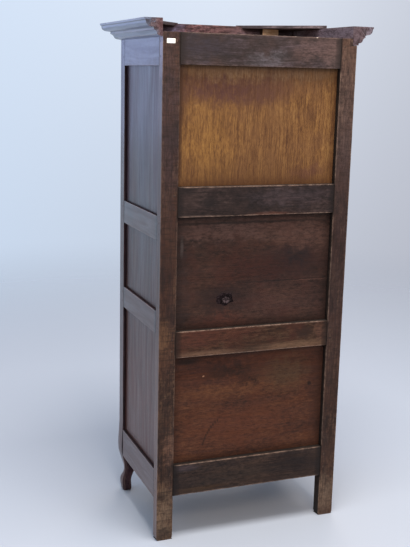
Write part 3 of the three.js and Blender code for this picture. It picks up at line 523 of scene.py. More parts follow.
def dress_board(node, grain, finish, slot="oak_show_faces", arris="fine_arris", opening=None, **sides):
    """A worn copy of a CAD board stands for it: rounded, rubbed edges and faces hollowed by a hand plane.

    Every point moves inwards, so the copy stays within its solid. sides names the finish of the faces that
    look a given way, where a board was waxed on one side and left dry on the other, or where a face takes
    painted shade. Nooks take dirt and painted shade, and opening is a panel's frame, from which painted
    shade reaches in.
    """
    axis = AXES[grain]
    radius = SIZES[arris]
    low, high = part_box(node)
    form = bmesh.new()
    form.from_mesh(NODES[node].data)
    arris_face = form.faces.layers.int.new("arris_face")
    worn = form.verts.layers.float.new("arris")
    nook = form.verts.layers.float.new("nook")
    bmesh.ops.remove_doubles(form, verts=form.verts, dist=WELD)
    bmesh.ops.dissolve_limit(form, angle_limit=FLAT, verts=form.verts, edges=form.edges)
    sharp = [e for e in form.edges if e.calc_face_angle_signed(0.0) > SHARP]
    rounded = bmesh.ops.bevel(
        form, geom=sharp, offset=radius, segments=2, profile=0.5, affect="EDGES", clamp_overlap=True,
    )
    for face in rounded["faces"]:
        face[arris_face] = 1
    for i in range(3):
        normal = Vector([1.0 if i == j else 0.0 for j in range(3)])
        inner_low, inner_high = low[i] + radius + BAND, high[i] - radius - BAND
        places = [inner_low, *spread(inner_low, inner_high, SIZES["cell"]), inner_high]
        for place in places if inner_high > inner_low else []:
            bmesh.ops.bisect_plane(
                form, geom=[*form.verts, *form.edges, *form.faces], plane_co=normal * place, plane_no=normal,
            )
    dice = random.Random(node)
    seed = Vector([dice.uniform(-3.0, 3.0) for _ in range(3)])
    form.normal_update()
    # Concave edges are nooks, and so are rounded edges that lie against another board; nooks take dirt and
    # painted shade.
    for edge in form.edges:
        if edge.calc_face_angle_signed(0.0) < -SHARP:
            for vertex in edge.verts:
                vertex[nook] = 1.0
    boxes = neighbours(node)
    for vertex in form.verts:
        wave = waves(vertex.co, seed, HOLLOW_WAVE, axis)
        depth = SIZES["hollow"] * (LEAST_HOLLOW + (1 - LEAST_HOLLOW) * wave)
        rounded_faces = [face for face in vertex.link_faces if face[arris_face]]
        if rounded_faces:
            if at_joint(vertex.co, vertex.normal, boxes):
                vertex[nook] = 1.0
            else:
                vertex[worn] = float(all(abs(face.normal[axis]) < ACROSS for face in rounded_faces))
            depth += radius * max(0.0, waves(vertex.co, seed, WEAR_WAVE, axis) - WEAR_FROM)
        moved = vertex.co - vertex.normal * depth
        vertex.co = [min(max(moved[i], low[i]), high[i]) for i in range(3)]
    bmesh.ops.dissolve_degenerate(form, dist=NO_LENGTH, edges=form.edges)
    form.normal_update()
    directions = [Vector(DIRECTIONS[side]) for side in sides]
    if node.endswith("left"):
        for direction in directions:
            direction.x = -direction.x
    for face in form.faces:
        face.material_index = 1 if abs(face.normal[axis]) > END_GRAIN else 0
        for index, direction in enumerate(directions):
            if face.normal.dot(direction) > FACING:
                face.material_index = index + 2
    [body] = body_of(NODES[node])
    piece = add_piece("worn_" + node, form, [finish, "sawn_end_oak", *sides.values()], body)
    write_grain(piece.data, axis, seed)
    if opening:
        write_edge(piece.data, opening)
    weigh_normals(piece)
    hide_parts(node)


def dress_metal(node, finish, edge):
    """A CAD fitting keeps its shape and gets a finish and filed edges."""
    piece = NODES[node]
    for holder in piece.material_slots:
        holder.link = "OBJECT"
        holder.material = finish_of(finish)
    bevel = piece.modifiers.new("filed edges", "BEVEL")
    bevel.width = edge
    bevel.segments = 2
    bevel.angle_limit = SHARP
    bevel.use_clamp_overlap = True
    weigh_normals(piece)


def opening_between(rail, rows, first, last, axis):
    """The opening of a panel: between the rails of two rows in height and two uprights along an axis."""
    low, high = [0.0] * 3, [0.0] * 3
    low[AXES[axis]], high[AXES[axis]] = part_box(first)[1][AXES[axis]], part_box(last)[0][AXES[axis]]
    low[2], high[2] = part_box(rail.format(rows[0]))[1].z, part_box(rail.format(rows[1]))[0].z
    return low, high


class BONNETIERE_OT_back_frame(bpy.types.Operator):
    """Dress the rear posts and the back rails"""

    bl_idname = "bonnetiere.back_frame"
    bl_label = "Back frame"

    def execute(self, context):
        # The posts' inner faces and the rails' upper and lower faces take painted shade.
        for side in SIDES:
            dress_board(
                f"rear_post_{side}", "z", f"rear_post_{side}", "oak_back_frame", "arris",
                outer="waxed_oak_corner", inner="reveal_oak", front="raw_oak",
            )
        for row in ROWS:
            dress_board(
                f"back_rail_{row}", "x", f"back_rail_{row}", "oak_back_frame", "arris",
                front="raw_oak", under="reveal_oak", top="reveal_oak",
            )
        return {"FINISHED"}


class BONNETIERE_OT_back_panels(bpy.types.Operator):
    """Dress the three back panels"""

    bl_idname = "bonnetiere.back_panels"
    bl_label = "Back panels"

    def execute(self, context):
        # Each panel's opening sets where painted shade reaches in from its frame.
        for name, rows in PANELS.items():
            dress_board(
                f"back_panel_{name}", "z" if name == "upper" else "x", f"back_panel_{name}",
                "oak_back_panels",
                opening=opening_between("back_rail_{}", rows, "rear_post_left", "rear_post_right", "x"),
                front="raw_oak",
            )
        return {"FINISHED"}


class BONNETIERE_OT_sides(bpy.types.Operator):
    """Dress the rails and panels of both sides"""

    bl_idname = "bonnetiere.sides"
    bl_label = "Sides"

    def execute(self, context):
        # The rails' upper and lower faces take painted shade.
        for side in SIDES:
            for row in ROWS:
                dress_board(
                    f"side_rail_{row}_{side}", "y", "waxed_oak_side", arris="arris",
                    inner="raw_oak", top="reveal_side_oak", under="reveal_side_oak",
                )
            rail, uprights = "side_rail_{}_" + side, (f"front_post_{side}", f"rear_post_{side}")
            # Each panel's opening sets where painted shade reaches in from its frame.
            for name, rows in PANELS.items():
                dress_board(
                    f"side_panel_{name}_{side}", "z", "waxed_oak_side_panel",
                    opening=opening_between(rail, rows, *uprights, "y"), inner="raw_oak",
                )
        return {"FINISHED"}


class BONNETIERE_OT_front_frame(bpy.types.Operator):
    """Dress the front posts with their feet, the top rail and the shaped apron"""

    bl_idname = "bonnetiere.front_frame"
    bl_label = "Front frame"

    def execute(self, context):
        # The posts' back faces take painted shade.
        for side in SIDES:
            dress_board(
                f"front_post_{side}", "z", "waxed_oak", outer="waxed_oak_side", back="reveal_side_oak",
            )
        for node in ("front_top_rail", "front_apron"):
            dress_board(node, "x", "waxed_oak", back="raw_oak")
        return {"FINISHED"}


class BONNETIERE_OT_inside(bpy.types.Operator):
    """Dress the bottom, the ceiling, the shelves and their cleats"""

    bl_idname = "bonnetiere.inside"
    bl_label = "Inside"

    def execute(self, context):
        for node in ("bottom_board", "shelf_lower", "shelf_upper"):
            dress_board(node, "x", "raw_oak", "oak_inside")
        dress_board("ceiling_board", "x", "raw_oak", "oak_inside", top="dusty_oak")
        for row in ("lower", "upper"):
            for side in SIDES:
                dress_board(f"shelf_cleat_{row}_{side}", "y", "raw_oak", "oak_inside")
        return {"FINISHED"}


class BONNETIERE_OT_cornice(bpy.types.Operator):
    """Dress the loose cornice, its gussets and its pine block"""

    bl_idname = "bonnetiere.cornice"
    bl_label = "Cornice"

    def execute(self, context):
        dress_board("cornice_front", "x", "cornice_oak", back="cornice_back_oak", top="dusty_oak")
        for side in SIDES:
            dress_board(
                f"cornice_return_{side}", "y", "cornice_side_oak",
                inner="cornice_back_oak", top="dusty_oak", back="cornice_end_oak",
            )
            dress_board(f"cornice_gusset_{side}", "x", "gusset_oak", "oak_back_frame", top="dusty_oak")
        dress_board("cornice_glue_block", "x", "sawn_pine", "pale_pine")
        return {"FINISHED"}


class BONNETIERE_OT_door(bpy.types.Operator):
    """Dress the door's stiles, rails and fielded panels"""

    bl_idname = "bonnetiere.door"
    bl_label = "Door"

    def execute(self, context):
        for node in ("door_stile_hinge", "door_stile_lock"):
            dress_board(node, "z", "waxed_oak", back="raw_oak")
        for row in ROWS:
            dress_board(f"door_rail_{row}", "x", "waxed_oak", back="raw_oak")
        # Each panel's opening sets where painted shade reaches in from its frame.
        for name, rows in PANELS.items():
            dress_board(
                f"door_panel_{name}", "z", "waxed_oak_panel",
                opening=opening_between("door_rail_{}", rows, "door_stile_lock", "door_stile_hinge", "x"),
                back="raw_oak",
            )
        return {"FINISHED"}


# A stud's outline: how far it sinks in, the share of its radius there, and its dome as shares of its radius
# and of how far it stands out. Hand-made studs are a little oval.
STUD_SINK = 3 * MM
SINK_SHARE = 0.96
STUD_DOME = ((1.0, 0.35), (0.86, 0.85), (0.45, 1.0))
STUD_OVAL = 0.05
PEG_SIDES, NAIL_SIDES = 9, 7


def add_stud(form, centre, normal, radius, stand, sides, dice):
    """A peg or nail head in a bmesh: a domed, slightly uneven disc that stands proud of a face."""
    turn = Vector((0, 0, 1)).rotation_difference(normal).to_matrix()
    start = dice.uniform(0, math.tau)
    rings = []
    for share, height in ((SINK_SHARE, -STUD_SINK), *((share, stand * rise) for share, rise in STUD_DOME)):
        ring = []
        for index in range(sides):
            angle = start + math.tau * index / sides
            reach = radius * share * (1 + STUD_OVAL * math.sin(2 * angle + start))
            offset = Vector((reach * math.cos(angle), reach * math.sin(angle), height))
            ring.append(form.verts.new(centre + turn @ offset))
        rings.append(ring)
    for lower, upper in zip(rings, rings[1:]):
        for index in range(sides):
            following = (index + 1) % sides
            form.faces.new((lower[index], lower[following], upper[following], upper[index]))
    form.faces.new(rings[-1])
    form.faces.new(list(reversed(rings[0])))


def add_studs(name, places, normal, radius, stand, sides, finish, body):
    """One piece that holds a group of like pegs or nails."""
    form = bmesh.new()
    dice = random.Random(name)
    for place in places:
        add_stud(form, Vector(place), Vector(normal), radius, stand, sides, dice)
    piece = add_piece(name, form, [finish], body)
    write_grain(piece.data, AXES["y"] if abs(normal[1]) > 0.5 else AXES["x"], Vector((0.0, 0.0, 0.0)))


# How far a peg stands in from its joint's shoulder, and two pegs' places as shares of a rail's height.
PEG_INSET = 14 * MM
PEG_PAIR = (0.28, 0.72)


def peg_places(columns, rails):
    """Two pegs in the height of each rail, in each column; a column is a place in x and y."""
    return [
        (x, y, low.z + share * (high.z - low.z))
        for x, y in columns for low, high in map(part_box, rails) for share in PEG_PAIR
    ]


class BONNETIERE_OT_pegs(bpy.types.Operator):
    """Drive the wooden pegs through the mortise and tenon joints of the body and the door"""

    bl_idname = "bonnetiere.pegs"
    bl_label = "Pegs"

    def execute(self, context):
        radius = SIZES["peg"] / 2
        post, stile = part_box("rear_post_right")[0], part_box("door_stile_hinge")
        depths = (post.y + PEG_INSET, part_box("side_panel_lower_right")[0].y - PEG_INSET / 2)
        back, front, door = (
            [(sign * (inner + PEG_INSET), y) for sign in SIDES.values()]
            for inner, y in ((post.x, BACK_Y), (stile[1].x, FRONT_Y), (stile[0].x, stile[0].y))
        )
        groups = [("back", back, [f"back_rail_{row}" for row in ROWS], (0, 1, 0), radius, 0.0, "peg_oak_dry")]
        for side, sign in SIDES.items():
            columns, rails = [(sign * SIDE_X, y) for y in depths], [f"side_rail_{row}_{side}" for row in ROWS]
            groups.append((f"side_{side}", columns, rails, (sign, 0, 0), radius, 0.4, "waxed_oak_side"))
        groups += [
            ("front", front, ("front_top_rail", "front_apron"), (0, -1, 0), radius, 0.6, "peg_oak_waxed"),
            ("door", door, [f"door_rail_{row}" for row in ROWS], (0, -1, 0), radius * 0.8, 0.5,
             "peg_oak_waxed"),
        ]
        for name, columns, rails, normal, size, stand, finish in groups:
            add_studs(
                f"pegs_{name}", peg_places(columns, rails), normal, size, stand * MM, PEG_SIDES, finish,
                "door" if name == "door" else "carcass",
            )
        return {"FINISHED"}


# The knot, in millimetres: its place in x and z, its half width and half height, how far it stands out, and
# where its heart lies from its middle. Its outline strays by KNOT_RAG of its reach. The outlines of its bark
# and its heart wander by KNOT_WANDER, and are these shares of its reach.
KNOT_PLACE = (111.0, 921.0)
KNOT_REACH = (36.0, 26.0)
KNOT_STAND = 0.9
KNOT_SINK = 1.0
KNOT_HEART = (-6.0, 0.0, -5.0)
KNOT_RAG = 0.28
KNOT_WANDER = 22.0
BARK_SHARE, HEART_SHARE = 0.72, 0.42
KNOT_SPOKES, KNOT_RINGS = 40, 7


class BONNETIERE_OT_knot(bpy.types.Operator):
    """Set the loose knot in the middle back panel"""

    bl_idname = "bonnetiere.knot"
    bl_label = "Knot"

    def execute(self, context):
        form = bmesh.new()
        centre = Vector((KNOT_PLACE[0] * MM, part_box("back_panel_middle")[1].y, KNOT_PLACE[1] * MM))
        inner = form.verts.new(centre + Vector((0, KNOT_STAND * MM, 0)))
        rows = []
        for ring in range(1, KNOT_RINGS + 1):
            share = ring / KNOT_RINGS
            row = []
            for spoke in range(KNOT_SPOKES):
                angle = math.tau * spoke / KNOT_SPOKES
                across, up = math.cos(angle), math.sin(angle)
                rag = 1 + KNOT_RAG * noise.noise(Vector((3 * across, 3 * up, 1.7)))
                lump = 0.5 + 0.5 * noise.noise(Vector((8 * share * across, 8 * share * up, 4.2)))
                stand = KNOT_STAND * (1 - share ** 3) * (0.2 + lump) if ring < KNOT_RINGS else -KNOT_SINK
                side, height = KNOT_REACH[0] * rag * share * across, KNOT_REACH[1] * rag * share * up
                row.append(form.verts.new(centre + Vector((side, stand, height)) * MM))
            rows.append(row)
        for spoke in range(KNOT_SPOKES):
            following = (spoke + 1) % KNOT_SPOKES
            form.faces.new((inner, rows[0][following], rows[0][spoke]))
            for near, far in zip(rows, rows[1:]):
                form.faces.new((near[spoke], near[following], far[following], far[spoke]))
        form.faces.new(rows[-1])
        add_piece("knot", form, ["knot_wood"], "carcass")
        return {"FINISHED"}


# The label, in millimetres: its place in x and z, how far it lies in the face and how deep its rim goes.
LABEL_PLACE = (344.5, 1839.0)
LABEL_LIFT = 0.12
LABEL_RIM = 1.5
LABEL_COLUMNS, LABEL_ROWS = 12, 8


class BONNETIERE_OT_label(bpy.types.Operator):
    """Stick the small blank paper label on the right rear post"""

    bl_idname = "bonnetiere.label"
    bl_label = "Label"

    def execute(self, context):
        width, height = SIZES["label_width"], SIZES["label_height"]
        form = bmesh.new()
        grid = []
        for row in range(LABEL_ROWS + 1):
            line = []
            for column in range(LABEL_COLUMNS + 1):
                across, up = column / LABEL_COLUMNS - 0.5, row / LABEL_ROWS - 0.5
                sag = LABEL_LIFT * (0.6 + 0.4 * noise.noise(Vector((across * 4, up * 4, 0.3))))
                x, z = LABEL_PLACE[0] * MM + across * width, LABEL_PLACE[1] * MM + up * height
                line.append(form.verts.new((x, BACK_Y - sag * MM, z)))
            grid.append(line)
        for lower, upper in zip(grid, grid[1:]):
            for index in range(LABEL_COLUMNS):
                form.faces.new((lower[index + 1], lower[index], upper[index], upper[index + 1]))
        skirt = bmesh.ops.extrude_edge_only(form, edges=[e for e in form.edges if e.is_boundary])
        for item in skirt["geom"]:
            if isinstance(item, bmesh.types.BMVert):
                item.co.y -= LABEL_RIM * MM
        bmesh.ops.holes_fill(form, edges=[e for e in form.edges if e.is_boundary], sides=0)
        add_piece("blank_label", form, ["label_paper"], "carcass")
        return {"FINISHED"}


# Nails: their radius, how deep a gusset's lie, and their places from its outer and its front edge.
NAIL_RADIUS = 3.2 * MM
NAIL_DEPTH = 0.35 * MM
GUSSET_NAILS = ((0.011, 0.011), (0.011, 0.09), (0.011, 0.17), (0.09, 0.011), (0.17, 0.011))
CLEAT_NAILS = (0.1, 0.5, 0.9)


class BONNETIERE_OT_nails(bpy.types.Operator):
    """Drive the hand-made nails that hold the gussets and the shelf cleats"""

    bl_idname = "bonnetiere.nails"
    bl_label = "Nails"

    def execute(self, context):
        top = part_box("cornice_gusset_left")[1].z - NAIL_DEPTH
        for side, sign in SIDES.items():
            low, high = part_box(f"cornice_gusset_{side}")
            outer = high.x if sign > 0 else -low.x
            places = [(sign * (outer - inset), low.y + back, top) for inset, back in GUSSET_NAILS]
            add_studs(
                f"nails_gusset_{side}", places, (0, 0, 1), NAIL_RADIUS, 0.3 * MM, NAIL_SIDES, "forged_iron",
                "cornice",
            )
            for row in ("lower", "upper"):
                low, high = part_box(f"shelf_cleat_{row}_{side}")
                inner = low.x if sign > 0 else high.x
                middle = (low.z + high.z) / 2
                places = [(inner, low.y + share * (high.y - low.y), middle) for share in CLEAT_NAILS]
                add_studs(
                    f"nails_cleat_{row}_{side}", places, (-sign, 0, 0), NAIL_RADIUS, 0.6 * MM, NAIL_SIDES,
                    "forged_iron", "carcass",
                )
        return {"FINISHED"}


# How far a file has broken the edges of the iron and of the brass.
IRON_EDGE = 0.4 * MM
BRASS_EDGE = 0.3 * MM


class BONNETIERE_OT_fittings(bpy.types.Operator):
    """Finish the pin hinges, the lock, its key and the key plate"""

    bl_idname = "bonnetiere.fittings"
    bl_label = "Fittings"

    def execute(self, context):
        hinges = [f"hinge_{place}_{half}_half" for place in ("lower", "upper") for half in ("post", "door")]
        for node in (*hinges, "lock_case", "lock_bolt", "key"):
            dress_metal(node, "forged_iron", IRON_EDGE)
        dress_metal("escutcheon", "cast_brass", BRASS_EDGE)
        return {"FINISHED"}


def waxed_oak(
    name, ends=("20130f", "5c3b2d"), painted_reflection_share=0.03, painted_reflection_tones=("50608e", "7c8cb6", "54322a"), columns=(), **more,
):
    """Planed oak, stained and waxed for years: nearly black in the pores, under a soft cool gloss.

    A painted reflection of the pale blue room lies high up, and the colour turns browner low down, where less
    is reflected. Each row of the painted reflection is a height and a half height in millimetres, a tone and
    a strength.
    """
    settings = {
        "hue": "4a2a20", "coat": 0.45, "streaks": 0.7, "clouds": 0.6, "pores": 0.35, "patches": 0.85,
        "roughness": 0.4, "worn": "94786c", "gloss": 0.3,
    }
    middle, high, low = painted_reflection_tones
    top = BODY_TOP / MM
    # Painted reflection, laid on as stains through every board: a blue sheen high up and a browner tone low
    # down.
    painted_reflection_rows = [
        (Vector((0, 0, height)) * MM, Vector((THROUGH, THROUGH, half_height)) * MM, tone, strength, 0.6)
        for height, half_height, tone, strength in (
            (top + 250, 750, middle, painted_reflection_share), (top, 120, high, min(1.0, 2.6 * painted_reflection_share)), (100, 700, low, 0.4),
        )
    ]
    return oak(name, (ends[0], "waxed", ends[1]), stains_and_painted_light=(*painted_reflection_rows, *columns), **(settings | more))


def knot_wood(name):
    """A dead knot: a black bark ring round a small, dry, cracked grey heart, proud of the panel."""
    material, tree, place = new_finish(name)
    centre = Vector((KNOT_PLACE[0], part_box("back_panel_middle")[1].y / MM, KNOT_PLACE[1])) * MM
    reach = Vector((KNOT_REACH[0], THROUGH, KNOT_REACH[1])) * MM
    cracks = add_node(tree, "TexVoronoi", {
        "feature": "DISTANCE_TO_EDGE", "Scale": 1 / (12 * MM),
    }, {"Vector": place}).outputs["Distance"]
    rag = add_node(tree, "TexNoise", {"Scale": 1 / (6 * MM), "Detail": 4.0}, {"Vector": place})
    wander = Vector((1, 1, 1)) * KNOT_WANDER * MM
    ragged = add_node(tree, "VectorMath", {
        "operation": "MULTIPLY_ADD", 1: wander,
    }, {0: rag.outputs["Color"], 2: place}).outputs[0]
    shifted = centre + wander / 2 + Vector(KNOT_HEART) * MM
    bark = stain_share(tree, ragged, shifted, reach * BARK_SHARE, 1.0, 0.3)
    heart = stain_share(tree, ragged, shifted, reach * HEART_SHARE, 0.9, 0.45)
    crack = add_node(tree, "MapRange", {
        "From Min": 0.0, "From Max": 0.2, "To Min": 0.95, "To Max": 0.0,
    }, {"Value": cracks}).outputs["Result"]
    tint = lay_tones(tree, "2a2124", [("040203", bark), ("584b4e", heart), ("0f090a", crack)])
    bump = add_node(tree, "Bump", {"Strength": 0.6, "Distance": 0.8 * MM}, {"Height": cracks})
    return add_surface(
        material, {"Roughness": 0.75, "Specular IOR Level": 0.05},
        {"Base Color": tint, "Normal": bump.outputs["Normal"]},
    )


def label_paper(name):
    """Uncoated label paper gone faintly yellow at its rim, smooth and matt, with nothing on it."""
    material, tree, place = new_finish(name)
    centre = Vector((LABEL_PLACE[0], BACK_Y / MM, LABEL_PLACE[1])) * MM
    reach = Vector((SIZES["label_width"] * 0.53, 1.0, SIZES["label_height"] * 0.62))
    middle = stain_share(tree, place, centre, reach, 1.0, 0.25)
    fibres = add_node(tree, "TexNoise", {"Scale": 1 / (0.8 * MM), "Detail": 2.0}, {"Vector": place})
    bump = add_node(tree, "Bump", {"Strength": 0.2, "Distance": 0.05 * MM}, {"Height": fibres.outputs["Fac"]})
    return add_surface(material, {"Roughness": 0.85}, {
        "Base Color": lay_tones(tree, "e6e0d0", [("paper", middle)]), "Normal": bump.outputs["Normal"],
    })


def forged_iron(name):
    """Forged iron, blackened and waxed: dark brown grey with rust in the pits and a soft sheen."""
    material, tree, place = new_finish(name)
    pits = add_node(tree, "TexNoise", {"Scale": 1 / (5 * MM), "Detail": 4.0}, {"Vector": place})
    rust = add_node(tree, "MapRange", {"From Min": 0.5, "From Max": 0.72}, {"Value": pits.outputs["Fac"]})
    bump = add_node(tree, "Bump", {"Strength": 0.4, "Distance": 0.3 * MM}, {"Height": pits.outputs["Fac"]})
    tint = lay_tones(tree, "iron", [("5b3420", rust.outputs["Result"])])
    return add_surface(material, {"Roughness": 0.5, "Metallic": 0.85}, {
        "Base Color": tint, "Normal": bump.outputs["Normal"],
    })


def cast_brass(name):
    """Cast brass, polished now and then: warm yellow on the high parts, brown tarnish left in between."""
    material, tree, place = new_finish(name)
    cloud = add_node(tree, "TexNoise", {"Scale": 1 / (9 * MM), "Detail": 4.0}, {"Vector": place})
    tarnish, rough = (
        add_node(tree, "MapRange", {
            "From Min": start, "From Max": end, "To Min": low, "To Max": high,
        }, {"Value": cloud.outputs["Fac"]}).outputs["Result"]
        for start, end, low, high in ((0.38, 0.6, 0.0, 1.0), (0.4, 0.7, 0.28, 0.55))
    )
    return add_surface(material, {"Metallic": 1.0}, {
        "Base Color": lay_tones(tree, "brass", [("4c3820", tarnish)]), "Roughness": rough,
    })


# Upright painted light on a side panel: a painted blue reflection down its middle and painted purple shade
# towards both posts. Each row is a place from front to back and a half width in millimetres, a tone and a
# strength.
SIDE_REFLECTION_AND_SHADE = [
    (Vector((0, y, 1500)) * MM, Vector((THROUGH, half_width, 420)) * MM, tone, strength, 0.8)
    for y, half_width, tone, strength in (
        (-150, 60, "46344a", 0.5), (190, 50, "4e3c54", 0.4), (40, 75, "4c5876", 0.3),
    )
]

# A dark curve in the lower panel's figure, from its top end down, in millimetres seen from the front.
PANEL_ARC = (
    (128, 447), (137, 441), (146, 432), (154, 422), (161, 412), (167, 402), (173, 392), (178, 382),
    (182, 371), (185, 359),
)
